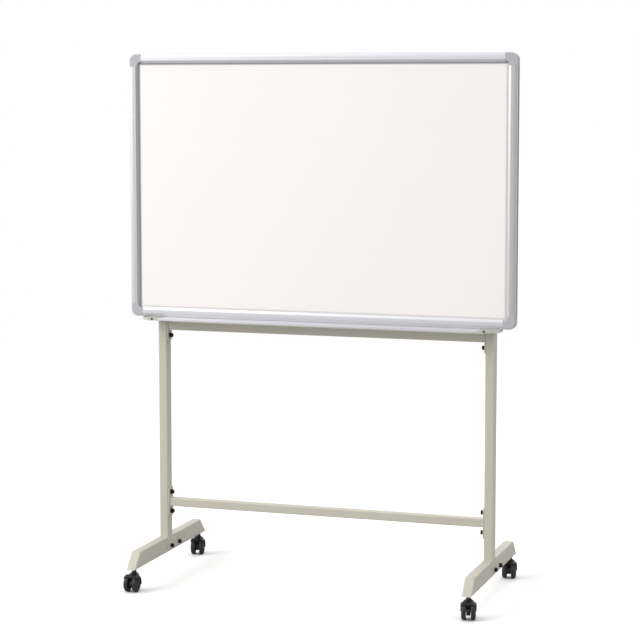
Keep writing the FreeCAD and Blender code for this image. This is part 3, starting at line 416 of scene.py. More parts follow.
@dataclass(frozen=True)
class DrawnMetal(Finish):
    """Extruded or brushed metal, with fine lines one way.

    Attributes:
        run: The way the lines run.
        line_scale: How many lines there are to a metre.
        line_gloss: How far the lines swing the roughness.
    """

    run: Run = Run.ALONG_X
    line_scale: float = 900.0
    line_gloss: float = 0.16

    def surface(self, bench: NodeBench, effects: SurfaceEffects, place: Any, colour: Any,
                mask: Any) -> tuple[Any, Any]:
        """Gives the colour, and a roughness that follows the lines."""
        return colour, self.gloss(bench, self._lines(bench, effects, place)["Mask"], self.line_gloss)

    def relief(self, bench: NodeBench, effects: SurfaceEffects, place: Any) -> Any:
        """Gives the height of the drawn lines."""
        return self._lines(bench, effects, place)["Height"]

    def _lines(self, bench: NodeBench, effects: SurfaceEffects, place: Any) -> bpy.types.NodeOutputs:
        """Places the group of drawn lines."""
        return bench.group(effects.drawn_lines, {
            "Vector": place, "Squeeze": self.run.value, "Scale": self.line_scale,
        })


@dataclass(frozen=True)
class Edge:
    """One side of the opening over the sheet, and the painted shade that stands for the shadow its lip casts.

    Attributes:
        axis: The axis that it lies across.
        at: Where it lies on that axis.
        inward: 1.0 where the opening is beyond it, -1.0 where the opening is short of it.
        shade: How dark the painted shade makes the sheet beside it, from 0 to 1.
        reach: How far in the painted shade has gone.
    """

    axis: str
    at: float
    inward: float
    shade: float
    reach: float


@dataclass(frozen=True)
class Enamel(Finish):
    """The fired enamel of the writing sheet: glossy, almost flat, with a faint haze where it was wiped, and
    painted shade beside the frame's lips.

    Attributes:
        haze: How much rougher a wiped streak is.
        streak_squeeze: The streaks' squeeze along X, Y and Z.
        streak_scale: How many streaks there are to a metre.
        clean_below: The pattern's height up to which there is no haze.
        hazy_above: The height from which the haze is full.
        edges: The sides of the opening that the frame leaves over it, each with its painted shade.
        shade_tone: Its colour in the painted shade of a lip.
        full_shade: How far from a lip the painted shade is still whole.
    """

    haze: float = 0.10
    streak_squeeze: tuple[float, float, float] = (0.25, 1.0, 1.0)
    streak_scale: float = 22.0
    clean_below: float = 0.45
    hazy_above: float = 0.75
    edges: tuple[Edge, ...] = ()
    shade_tone: Colour = (0.3, 0.3, 0.3)
    full_shade: float = 2.5 * MM

    def surface(self, bench: NodeBench, effects: SurfaceEffects, place: Any, colour: Any,
                mask: Any) -> tuple[Any, Any]:
        """Gives the colour, with painted shade beside the frame's lips, and a roughness with wide wiped
        streaks.
        """
        # Painted shade: the sheet's colour darkens toward each lip, standing for the shadow that the lip
        # casts.
        shade = 0.0
        for edge in self.edges:
            depth = bench.sum("MULTIPLY_ADD", bench.axis(place, edge.axis), edge.inward,
                              -edge.inward * edge.at)
            fade = bench.ramp(depth, self.full_shade, edge.reach, low=edge.shade, high=0.0)
            shade = bench.sum("MAXIMUM", shade, fade)
        streaks = bench.group(effects.drawn_lines, {
            "Vector": place, "Squeeze": self.streak_squeeze, "Scale": self.streak_scale,
        })
        wiped = bench.ramp(streaks["Height"], self.clean_below, self.hazy_above)
        return (bench.tint(shade, colour, (*self.shade_tone, 1.0)),
                bench.sum("MULTIPLY_ADD", wiped, self.haze, self.roughness))


@dataclass(frozen=True)
class Painted(Finish):
    """Satin powder paint: orange peel, and a few hairline marks that show a little paler.

    Attributes:
        mark_colour: The colour of a mark.
        marks: How strongly the marks show.
        mark_scale: How many of the marks' cells there are to a metre.
        mark_width: The marks' width, as a share of a cell.
        mark_gloss: How much rougher a mark is.
    """

    mark_colour: Colour = (0.6, 0.6, 0.6)
    marks: float = 0.25
    mark_scale: float = 16.0
    mark_width: float = 0.004
    mark_gloss: float = 0.2

    def surface(self, bench: NodeBench, effects: SurfaceEffects, place: Any, colour: Any,
                mask: Any) -> tuple[Any, Any]:
        """Gives the colour with its marks, and an uneven gloss."""
        scratches = bench.group(effects.fine_scratches, {
            "Vector": place, "Scale": self.mark_scale, "Width": self.mark_width,
        })
        share = bench.sum("MULTIPLY", scratches["Mask"], self.marks)
        return (bench.tint(share, colour, (*self.mark_colour, 1.0)),
                bench.sum("MULTIPLY_ADD", share, self.mark_gloss, self.gloss(bench, mask, self.gloss_swing)))


@dataclass(frozen=True)
class PaintedToSeam(Painted):
    """Powder paint on a tube whose tongue, seen in a seam, is bare steel darkened to near black as painted
    shade in the gap.

    Attributes:
        bare_shaded_from: The Y beyond which the tube is its bare tongue, darkened as painted shade.
        bare_and_shade_tone: The tongue's colour: near black, bare steel darkened as painted shade for the
            seam's gap.
    """

    bare_shaded_from: float = 0.0
    bare_and_shade_tone: Colour = (0.02, 0.02, 0.02)

    def surface(self, bench: NodeBench, effects: SurfaceEffects, place: Any, colour: Any,
                mask: Any) -> tuple[Any, Any]:
        """Gives the painted colour up to the seam and the tongue's near-black colour beyond it, bare steel
        with painted shade, and the paint's gloss.
        """
        painted, gloss = super().surface(bench, effects, place, colour, mask)
        # Beyond the seam the tongue turns near black: bare steel, darkened as painted shade in the gap.
        bare = bench.sum("GREATER_THAN", bench.axis(place, "Y"), self.bare_shaded_from)
        return bench.tint(bare, painted, (*self.bare_and_shade_tone, 1.0)), gloss


@dataclass(frozen=True)
class Galvanised(Finish):
    """Zinc-coated sheet whose spangles differ in tone and gloss.

    Attributes:
        facet_tone: The colour of the darkest facets.
        facet_scale: How many facets there are to a metre.
        facet_share: How far a facet goes to that colour.
        facet_gloss: How much rougher the roughest facet is.
    """

    facet_tone: Colour = (0.3, 0.3, 0.3)
    facet_scale: float = 85.0
    facet_share: float = 0.5
    facet_gloss: float = 0.25

    def surface(self, bench: NodeBench, effects: SurfaceEffects, place: Any, colour: Any,
                mask: Any) -> tuple[Any, Any]:
        """Gives a colour and a roughness that change from facet to facet."""
        facets = bench.group(effects.spangle, {"Vector": place, "Scale": self.facet_scale})["Mask"]
        shade = bench.tint(bench.sum("MULTIPLY", facets, self.facet_share), colour, (*self.facet_tone, 1.0))
        return shade, bench.sum("MULTIPLY_ADD", facets, self.facet_gloss, self.roughness)


@dataclass(frozen=True)
class FloorWorn(Finish):
    """Dark moulded nylon near the floor, with settled dust.

    Attributes:
        dust_colour: The colour of the dust.
        dust: How much dust there is at floor level.
        dust_reach: The height at which it ends, in metres.
        dust_gloss: How much rougher full dust is.
    """

    dust_colour: Colour = (0.35, 0.33, 0.30)
    dust: float = 0.25
    dust_reach: float = 0.03
    dust_gloss: float = 0.4

    def surface(self, bench: NodeBench, effects: SurfaceEffects, place: Any, colour: Any,
                mask: Any) -> tuple[Any, Any]:
        """Gives the colour and roughness with dust over them."""
        dust = bench.group(effects.settled_dust, {
            "Vector": place, "Reach": self.dust_reach, "Amount": self.dust,
        })["Mask"]
        return (bench.tint(dust, colour, (*self.dust_colour, 1.0)),
                bench.sum("MULTIPLY_ADD", dust, self.dust_gloss, self.gloss(bench, mask, self.gloss_swing)))


ALUMINIUM = tone("D6D6DA")
# The side members' aluminium is the same finish in a darker tone: painted shade.
ALUMINIUM_PAINTED_SHADE = tone("BFBEBF")
STAND_TONE = tone("BDBAAC")
SEAM_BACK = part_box("rear_foot_left")[0].y
SEAM_WIDTH = 1.9 * MM
# Painted shade on the enamel beside the frame's lips, strongest beside the top and left members as if lit
# from the upper left.
LIP_SHADES = (
    Edge("Z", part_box("frame_top")[0].z, -1.0, 1.0, 7.5 * MM),
    Edge("X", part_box("frame_left")[1].x, 1.0, 1.0, 8.0 * MM),
    Edge("X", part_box("frame_right")[0].x, -1.0, 0.5, 8.0 * MM),
    Edge("Z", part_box("frame_bottom")[1].z, 1.0, 0.35, 7.0 * MM),
)
METAL = {"metallic": 0.75, "spread": 0.03, "grain_depth": 0.000012}
MOULDED = {"grain_scale": 2600.0, "grain_depth": 0.00002}
POWDER = {"spread": 0.04, "grain_scale": 650.0, "grain_softness": 0.8, "grain_depth": 0.00005,
          "mark_colour": tone("D6D3C8")}
NYLON = {"spread": 0.2, "blotch": 60.0}
OXIDE = {"spread": 0.3, "grain_scale": 3000.0, "grain_depth": 0.00001}
PLATED = {"grain_scale": 1800.0, "grain_depth": 0.00001}
FINISHES: tuple[Finish, ...] = (
    Enamel("white_enamel", tone("F0ECE9"), 0.16, "writing_enamel", spread=0.012, blotch=2.5,
           grain_scale=60.0, grain_softness=1.0, grain_depth=0.00001, coat=0.3, edges=LIP_SHADES,
           shade_tone=tone("808083")),
    Finish("fibreboard", tone("A98C66"), 0.85, "core_board", spread=0.25, blotch=180.0, grain_scale=700.0,
           grain_softness=1.0, grain_depth=0.0001),
    Galvanised("zinc_back", tone("B4B6B8"), 0.36, "zinc_sheet", metallic=0.85, facet_tone=tone("8C8F92")),
    DrawnMetal("aluminium_across", ALUMINIUM, 0.42, "satin_aluminium", run=Run.ALONG_X, **METAL),
    # Frame side members: the drawn aluminium with its tone darkened as painted shade.
    DrawnMetal("aluminium_upright_painted_shade", ALUMINIUM_PAINTED_SHADE, 0.42, "satin_aluminium", run=Run.ALONG_Z, **METAL),
    Finish("corner_moulding", tone("B0AEB2"), 0.38, "corner_plastic", **MOULDED),
    Finish("tray_end_moulding", tone("BABAB5"), 0.42, "tray_end_plastic", **MOULDED),
    Painted("stand_powder", STAND_TONE, 0.42, "stand_paint", **POWDER),
    # Front feet: painted up to the seam, the tongue beyond it near black as painted shade in the gap.
    PaintedToSeam("front_foot_powder", STAND_TONE, 0.42, "stand_paint", bare_shaded_from=SEAM_BACK - SEAM_WIDTH,
                  **POWDER),
    Finish("black_plug", tone("1E1E1F"), 0.5, "black_plastic", grain_scale=2200.0, grain_depth=0.00003),
    Finish("black_oxide", tone("17150F"), 0.36, "black_bolts", metallic=0.6, blotch=220.0, **OXIDE),
    Finish("dark_screw", tone("383530"), 0.42, "dark_screws", metallic=0.5, blotch=300.0, **OXIDE),
    Finish("zinc_plate", tone("B9BABB"), 0.30, "zinc_screws", metallic=0.95, spread=0.15, blotch=160.0,
           **PLATED),
    Finish("pale_washer", tone("D8D4C4"), 0.35, "pale_washers", metallic=0.6, spread=0.12, blotch=200.0,
           **PLATED),
    FloorWorn("caster_nylon", tone("191918"), 0.45, "caster_plastic", grain_scale=2400.0,
              grain_depth=0.00003, dust=0.05, **NYLON),
    FloorWorn("wheel_nylon", tone("1B1B19"), 0.5, "caster_wheel", grain_scale=2000.0,
              grain_depth=0.00004, dust=0.12, **NYLON),
)


# ------------------------------------------------------------------ mesh helpers
def rounded_profile(corners: Sequence[tuple[float, ...]], steps: int = 6) -> Profile:
    """Turns corners into an outline whose corners may be rounded.

    Args:
        corners: Each corner's two coordinates, and after them its radius where it is rounded.
        steps: How many stretches a rounding has.

    Returns:
        The outline's points in order; the outline is open.
    """
    points: Profile = []
    for i, corner in enumerate(corners):
        spot = Vector(corner[:2])
        if len(corner) < 3 or i in (0, len(corners) - 1):
            points.append((spot.x, spot.y))
            continue
        back = (Vector(corners[i - 1][:2]) - spot).normalized()
        ahead = (Vector(corners[i + 1][:2]) - spot).normalized()
        half = back.angle(ahead) / 2
        middle = spot + (back + ahead).normalized() * (corner[2] / math.sin(half))
        first = spot + back * (corner[2] / math.tan(half)) - middle
        last = spot + ahead * (corner[2] / math.tan(half)) - middle
        for step in range(steps + 1):
            way = first.normalized().slerp(last.normalized(), step / steps)
            points.append(tuple(middle + way.normalized() * corner[2]))
    return points


def spun_mesh(name: str, profile: Profile, segments: int) -> bpy.types.Mesh:
    """Spins an outline of (radius, height) points about Z.

    Args:
        name: The mesh's name.
        profile: The outline; where it starts and ends on the axis, the mesh is closed there.
        segments: How many segments the turn has.

    Returns:
        The new mesh, with its faces outwards.
    """
    shape = bmesh.new()
    verts = [shape.verts.new((radius, 0.0, height)) for radius, height in profile]
    edges = [shape.edges.new(pair) for pair in zip(verts, verts[1:])]
    bmesh.ops.spin(shape, geom=verts + edges, cent=(0, 0, 0), axis=(0, 0, 1), dvec=(0, 0, 0),
                   angle=math.tau, steps=segments, use_merge=True)
    bmesh.ops.remove_doubles(shape, verts=shape.verts, dist=SAME_POINT / 10)
    bmesh.ops.recalc_face_normals(shape, faces=shape.faces)
    mesh = bpy.data.meshes.new(name)
    shape.to_mesh(mesh)
    shape.free()
    return mesh


def points_mesh(name: str, spots: Sequence[Vector], facings: Sequence[Vector]) -> bpy.types.Mesh:
    """A mesh of loose points that each carry the way they face.

    Args:
        name: The mesh's name.
        spots: Where the points are.
        facings: The way each faces.

    Returns:
        The new mesh, with the attribute "facing".
    """
    mesh = bpy.data.meshes.new(name)
    mesh.from_pydata([tuple(s) for s in spots], [], [])
    attribute = mesh.attributes.new("facing", "FLOAT_VECTOR", "POINT")
    attribute.data.foreach_set("vector", np.array([tuple(f) for f in facings], np.float32).ravel())
    return mesh


def grown_mesh(name: str, start: bpy.types.Mesh,
               stages: Sequence[tuple[bpy.types.NodeTree, dict[str, Any]]]) -> bpy.types.Mesh:
    """Runs geometry trees on a mesh, one after the other, and gives the result as a plain mesh.

    Args:
        name: The result's name.
        start: The mesh that the first tree gets.
        stages: Each tree with the values of its named inputs.

    Returns:
        The new mesh.
    """
    worker = placed(f"{name}_worker", start)
    for tree, values in stages:
        modifier = worker.modifiers.new(tree.name, "NODES")
        modifier.node_group = tree
        sockets = {item.name: item.identifier for item in tree.interface.items_tree if item.in_out == "INPUT"}
        for key, value in values.items():
            modifier[sockets[key]] = value
    graph = bpy.context.evaluated_depsgraph_get()
    mesh = bpy.data.meshes.new_from_object(worker.evaluated_get(graph))
    mesh.name = name
    mesh.materials.clear()
    bpy.data.objects.remove(worker)
    mesh.set_sharp_from_angle(angle=SHARP_ANGLE)
    return mesh


# ------------------------------------------------------------------ geometry trees
class GrowthTrees:
    """The geometry trees that make what repeats."""

    SHAPE = Port("Geometry", "NodeSocketGeometry")
    FINISH = Port("Finish", "NodeSocketMaterial")
    SHANK_SIDES = 24
    CORNER_STEPS = 6
    RIPPLE_STEPS = 6.0
    BEAD_SIDES = 10

    def __init__(self) -> None:
        """Builds every tree."""
        self.cap_screws = self._cap_screws()
        self.weld_beads = self._weld_beads()
        self.radial_ribs = self._radial_ribs()

    def _start(self, name: str, *inputs: Port | str) -> tuple[NodeBench, Any]:
        """Makes a tree that takes and gives geometry, and gives its bench and inputs."""
        bench = NodeBench(new_group(name, "GeometryNodeTree", [self.SHAPE, *inputs, self.FINISH],
                                    [self.SHAPE]))
        return bench, bench.add("NodeGroupInput").outputs

    def _end(self, bench: NodeBench, shape: Any, finish: Any) -> bpy.types.NodeTree:
        """Ends a tree: instances made real, and the finish set."""
        real = bench.add("GeometryNodeRealizeInstances", {"Geometry": shape})
        return bench.close({
            "Geometry": bench.add("GeometryNodeSetMaterial", {"Geometry": real, "Material": finish}),
        })

    def _at_points(self, bench: NodeBench, points: Any, shape: Any) -> Any:
        """Puts a shape on every point, its Z turned the way the point faces."""
        facing = bench.add("GeometryNodeInputNamedAttribute", {"Name": "facing"}, data_type="FLOAT_VECTOR")
        turned = bench.add("FunctionNodeAlignRotationToVector", {"Vector": facing.outputs["Attribute"]},
                           axis="Z")
        return bench.add("GeometryNodeInstanceOnPoints", {"Points": points, "Instance": shape,
                                                          "Rotation": turned}).outputs["Instances"]

    def _joined(self, bench: NodeBench, *shapes: Any) -> bpy.types.Node:
        """Joins shapes."""
        whole = bench.add("GeometryNodeJoinGeometry")
        for shape in shapes:
            bench.feed(whole.inputs["Geometry"], shape)
        return whole

    def _raised(self, bench: NodeBench, shape: Any, height: Any) -> bpy.types.Node:
        """Moves a shape up."""
        up = bench.add("ShaderNodeCombineXYZ", {"Z": height})
        return bench.add("GeometryNodeTransform", {"Geometry": shape, "Translation": up})

    def _pulled(self, bench: NodeBench, shape: Any, height: Any, top: Any = True) -> Any:
        """Extrudes a shape's faces together; gives the mesh as "Mesh" and their new place as "Top"."""
        return bench.add("GeometryNodeExtrudeMesh", {"Mesh": shape, "Selection": top, "Offset Scale": height,
                                                     "Individual": False}).outputs

    def _cap_screws(self) -> bpy.types.NodeTree:
        """Cap screws with a knurled head, a rounded rim, a hexagon socket and a plain shank."""
        bench, given = self._start(
            "cap_screws", "Head Radius", "Head Height", "Rim Round", "Socket Radius", "Socket Depth",
            "Shank Radius", "Shank Length", Port("Knurls", "NodeSocketInt"), "Knurl Depth",
        )
        spot = bench.add("GeometryNodeInputPosition").outputs[0]
        knurled = self._knurled_disc(bench, given, spot)
        wall = self._pulled(bench, knurled, bench.sum("SUBTRACT", given["Head Height"], given["Rim Round"]))
        rim = self._pulled(bench, wall["Mesh"], given["Rim Round"], wall["Top"])
        rim_share = bench.sum("SUBTRACT", 1.0, bench.sum("DIVIDE", given["Rim Round"], given["Head Radius"]))
        narrowed = bench.add("GeometryNodeScaleElements", {
            "Geometry": rim["Mesh"], "Selection": rim["Top"], "Scale": rim_share,
        })
        ring = self._pulled(bench, narrowed, 0.0, rim["Top"])
        hexagon = bench.add("GeometryNodeSetPosition", {
            "Geometry": ring["Mesh"], "Selection": ring["Top"],
            "Position": self._hexagon_spot(bench, spot, given["Socket Radius"]),
        })
        socket = self._pulled(bench, hexagon, bench.sum("MULTIPLY", given["Socket Depth"], -1.0), ring["Top"])
        underside = bench.add("GeometryNodeFlipFaces", {"Mesh": knurled})
        head = self._joined(bench, socket["Mesh"], underside)
        closed = bench.add("GeometryNodeMergeByDistance", {"Geometry": head, "Distance": SAME_POINT})
        shank = bench.add("GeometryNodeMeshCylinder", {
            "Vertices": self.SHANK_SIDES, "Radius": given["Shank Radius"], "Depth": given["Shank Length"],
        })
        lowered = self._raised(bench, shank.outputs["Mesh"],
                               bench.sum("MULTIPLY", given["Shank Length"], -0.5))
        whole = self._joined(bench, closed, lowered)
        return self._end(bench, self._at_points(bench, given["Geometry"], whole), given["Finish"])

    def _knurled_disc(self, bench: NodeBench, given: Any, spot: Any) -> bpy.types.Node:
        """A disc as wide as the head, with every second point of its rim drawn in."""
        count = bench.sum("MULTIPLY", given["Knurls"], 2.0)
        disc = bench.add("GeometryNodeMeshCircle", {"Vertices": count, "Radius": given["Head Radius"]},
                         fill_type="NGON")
        parity = bench.sum("MODULO", bench.add("GeometryNodeInputIndex").outputs[0], 2.0)
        inward = bench.sum("MULTIPLY", bench.sum("MULTIPLY", parity, given["Knurl Depth"]), -1.0)
        return bench.add("GeometryNodeSetPosition", {
            "Geometry": disc, "Offset": bench.vector_sum("SCALE", {"Vector": spot, "Scale": inward}),
        })

    def _hexagon_spot(self, bench: NodeBench, spot: Any, radius: Any) -> Any:
        """Where a point of a ring goes to lie on a hexagon of that corner radius, at the same height."""
        apart = bench.add("ShaderNodeSeparateXYZ", {"Vector": spot}).outputs
        angle = bench.sum("ARCTAN2", apart["Y"], apart["X"])
        sector = math.pi / 3
        within = bench.sum("SUBTRACT", bench.sum("FLOORED_MODULO", angle, sector), sector / 2)
        flat = bench.sum("MULTIPLY", radius, math.cos(sector / 2))
        reach = bench.sum("DIVIDE", flat, bench.sum("COSINE", within))
        return bench.add("ShaderNodeCombineXYZ", {
            "X": bench.sum("MULTIPLY", reach, bench.sum("COSINE", angle)),
            "Y": bench.sum("MULTIPLY", reach, bench.sum("SINE", angle)), "Z": apart["Z"],
        })

    def _weld_beads(self) -> bpy.types.NodeTree:
        """Rippled fillet welds that run round a tube's end, one on each point."""
        bench, given = self._start("weld_beads", "Width", "Depth", "Corner", "Bead", "Ripple Pitch", "Ripple")
        path = bench.add("GeometryNodeCurvePrimitiveQuadrilateral",
                         {"Width": given["Width"], "Height": given["Depth"]})
        rounded = bench.add("GeometryNodeFilletCurve", {"Curve": path, "Radius": given["Corner"],
                                                        "Count": self.CORNER_STEPS}, mode="POLY")
        step = bench.sum("DIVIDE", given["Ripple Pitch"], self.RIPPLE_STEPS)
        even = bench.add("GeometryNodeResampleCurve", {"Curve": rounded, "Length": step}, mode="LENGTH")
        along = bench.add("GeometryNodeSplineParameter").outputs["Length"]
        turns = bench.sum("DIVIDE", along, given["Ripple Pitch"])
        wave = bench.sum("SINE", bench.sum("MULTIPLY", turns, math.tau))
        share = bench.sum("MULTIPLY_ADD", wave, given["Ripple"], 1.0)
        section = bench.add("GeometryNodeCurvePrimitiveCircle", {"Resolution": self.BEAD_SIDES,
                                                                 "Radius": given["Bead"]})
        bead = bench.add("GeometryNodeCurveToMesh", {"Curve": even, "Profile Curve": section, "Scale": share})
        return self._end(bench, self._at_points(bench, given["Geometry"], bead), given["Finish"])

    def _radial_ribs(self) -> bpy.types.NodeTree:
        """Adds flat ribs round Z to a shape that spins about Z."""
        bench, given = self._start("radial_ribs", Port("Ribs", "NodeSocketInt"), "Inner Radius",
                                   "Outer Radius", "Rib Width", "Bottom", "Top")
        middle, height = (
            bench.sum("MULTIPLY", bench.sum("ADD", given[one], given[other]), 0.5)
            for one, other in (("Inner Radius", "Outer Radius"), ("Top", "Bottom"))
        )
        ring = bench.add("GeometryNodeMeshCircle", {"Vertices": given["Ribs"], "Radius": middle})
        size = bench.add("ShaderNodeCombineXYZ", {
            "X": bench.sum("SUBTRACT", given["Outer Radius"], given["Inner Radius"]),
            "Y": given["Rib Width"], "Z": bench.sum("SUBTRACT", given["Top"], given["Bottom"]),
        })
        rib = bench.add("GeometryNodeMeshCube", {"Size": size})
        outward = bench.add("FunctionNodeAlignRotationToVector",
                            {"Vector": bench.add("GeometryNodeInputPosition")}, axis="X")
        ribs = bench.add("GeometryNodeInstanceOnPoints", {
            "Points": ring, "Instance": rib.outputs["Mesh"], "Rotation": outward,
        })
        lifted = self._raised(bench, ribs.outputs["Instances"], height)
        return self._end(bench, self._joined(bench, given["Geometry"], lifted), given["Finish"])


# ------------------------------------------------------------------ the workshop
class Workshop:
    """Holds the finishes and trees, dresses the CAD nodes and sets out new pieces."""

    def __init__(self) -> None:
        """Builds the shared groups, the finishes and the geometry trees."""
        effects = SurfaceEffects()
        self.trees = GrowthTrees()
        self.finishes = {finish.name: finish for finish in FINISHES}
        self.materials = {finish.name: finish.material(effects) for finish in FINISHES}

    def dress(self, finish: str, *nodes: str) -> None:
        """Gives CAD nodes a finish.

        Args:
            finish: The finish's name.
            *nodes: The CAD nodes that get it.
        """
        for node in nodes:
            piece = frame["nodes"][node]
            for place in piece.material_slots:
                place.material = self.materials[finish]
            LOG.info("%s: %s", node, finish)

    def set_out(self, name: str, mesh: bpy.types.Mesh, finish: str, body: str,
                stands_for: Iterable[str] = ()) -> None:
        """Adds a new piece to the object.

        Args:
            name: The piece's name.
            mesh: Its mesh, already in place.
            finish: The name of its finish.
            body: The body that it rides on.
            stands_for: The CAD nodes that it replaces.
        """
        mesh.materials.append(self.materials[finish])
        for face in mesh.polygons:
            face.material_index = 0
        piece = placed(name, mesh)
        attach(piece, body)
        if stands_for:
            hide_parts(*stands_for)
        LOG.info("%s: %s, %d faces", name, finish, len(mesh.polygons))


SIDES = ("left", "right")
ROWS = ("upper", "lower")
STAND = "stand"


# ------------------------------------------------------------------ sub-assemblies
@dataclass
class Assembly:
    """A sub-assembly.

    Attributes:
        shop: Where finishes and trees come from.
    """

    shop: Workshop


@dataclass
class Board(Assembly):
    """The panel, its extruded frame, the corner caps and the pen tray."""

    def build(self) -> None:
        """Dresses every piece of the board."""
        self.shop.dress("white_enamel", "writing_surface")
        self.shop.dress("fibreboard", "board_core")
        self.shop.dress("zinc_back", "back_sheet")
        self.shop.dress("aluminium_across", "frame_top", "frame_bottom", "pen_tray")
        # The side members take the darker copy of the aluminium: painted shade.
        self.shop.dress("aluminium_upright_painted_shade", "frame_left", "frame_right")
        for side in SIDES:
            self.shop.dress("corner_moulding", f"corner_cap_top_{side}", f"corner_cap_bottom_{side}")
            self.shop.dress("tray_end_moulding", f"tray_end_{side}")


@dataclass
class Stand(Assembly):
    """The painted uprights, crossbars, feet and brackets, with their weld beads.

    Attributes:
        bead: The radius of a weld bead.
        ripple_pitch: The length of one of its ripples.
        ripple: How far they swing its radius, as a share.
        tube_corner: The corner radius of the upright's tube.
        bar_corner: The corner radius of the crossbar's tube.
    """

    bead: float = 1.3 * MM
    ripple_pitch: float = 2.2 * MM
    ripple: float = 0.1
    tube_corner: float = 4.0 * MM
    bar_corner: float = 3.0 * MM

    def build(self) -> None:
        """Dresses the stand and adds its welds."""
        for side in SIDES:
            self.shop.dress("stand_powder", f"upright_{side}", f"rear_foot_{side}",
                            f"board_bracket_lower_{side}", f"board_bracket_upper_{side}")
            self.shop.dress("front_foot_powder", f"front_foot_{side}")
            self.shop.dress("black_plug", f"upright_cap_{side}")
        for row in ROWS:
            self.shop.dress("stand_powder", f"{row}_crossbar", f"{row}_crossbar_plates")
        self.shop.dress("black_oxide", "crossbar_washers")
        self.shop.dress("pale_washer", "foot_washers")
        self.shop.dress("black_plug", "caster_sockets")
        self._upright_welds()
        self._crossbar_welds()

    def _upright_welds(self) -> None:
        """Beads round the bottoms of the uprights, where they stand on the feet."""
        boxes = [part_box(f"upright_{side}") for side in SIDES]
        spots = [Vector(((low.x + high.x) / 2, (low.y + high.y) / 2, low.z)) for low, high in boxes]
        size = boxes[0][1] - boxes[0][0]
        facings = [Vector((0, 0, 1))] * len(spots)
        self._welds("upright_welds", spots, facings, size.x, size.y, self.tube_corner)

    def _crossbar_welds(self) -> None:
        """Beads round both ends of each crossbar, where they meet the end plates."""
        spots, facings = [], []
        for row in ROWS:
            low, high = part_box(f"{row}_crossbar")
            centre = (low + high) / 2
            for end, way in ((low.x, 1.0), (high.x, -1.0)):
                spots.append(Vector((end, centre.y, centre.z)))
                facings.append(Vector((way, 0, 0)))
        self._welds("crossbar_welds", spots, facings, high.z - low.z, high.y - low.y, self.bar_corner)

    def _welds(self, name: str, spots: list[Vector], facings: list[Vector], wide: float, deep: float,
               corner: float) -> None:
        """Sets out one piece of weld beads.

        Args:
            name: The piece's name.
            spots: The middle of each tube's end.
            facings: The way each tube runs from there.
            wide: The tube's size along the bead path's own X.
            deep: The tube's size along the bead path's own Y.
            corner: The tube's corner radius.
        """
        mesh = grown_mesh(name, points_mesh(f"{name}_points", spots, facings), [(self.shop.trees.weld_beads, {
            "Width": wide, "Depth": deep, "Corner": corner, "Bead": self.bead,
            "Ripple Pitch": self.ripple_pitch, "Ripple": self.ripple,
            "Finish": self.shop.materials["stand_powder"],
        })])
        self.shop.set_out(name, mesh, "stand_powder", STAND)


@dataclass(frozen=True)
class Screw:
    """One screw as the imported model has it.

    Attributes:
        seat: Where the head's underside meets the axis.
        facing: The way the head stands out.
        head_radius: The head's radius.
        head_height: The head's height.
        shank_radius: The shank's radius.
        shank_length: How far the shank runs below the head.
        AT_RIM: The share of the head's radius from which a point counts as on its rim.
    """

    AT_RIM: ClassVar[float] = 0.97

    seat: Vector
    facing: Vector
    head_radius: float
    head_height: float
    shank_radius: float
    shank_length: float

    @classmethod
    def from_points(cls, points: np.ndarray) -> "Screw":
        """Measures a screw that lies along X, Y or Z.

        Args:
            points: The screw's vertices, one row each.

        Returns:
            The screw.
        """
        low, high = points.min(0), points.max(0)
        span, middle = high - low, (low + high) / 2
        orders = ((0, 1, 2), (1, 2, 0), (2, 0, 1))
        axis, first, second = min(orders, key=lambda order: abs(span[order[1]] - span[order[2]]))
        off_axis = np.hypot(points[:, first] - middle[first], points[:, second] - middle[second])
        head_radius = float(off_axis.max())
        head = points[off_axis > cls.AT_RIM * head_radius][:, axis]
        way = 1.0 if head.max() > middle[axis] else -1.0
        seat = middle.copy()
        seat[axis] = head.min() if way > 0 else head.max()
        tail = points[:, axis].min() if way > 0 else points[:, axis].max()
        at_tail = np.abs(points[:, axis] - tail) < SAME_LEVEL
        facing = [0.0, 0.0, 0.0]
        facing[axis] = way
        return cls(Vector(seat), Vector(facing), head_radius, float(head.max() - head.min()),
                   float(off_axis[at_tail].max()), abs(float(seat[axis] - tail)))


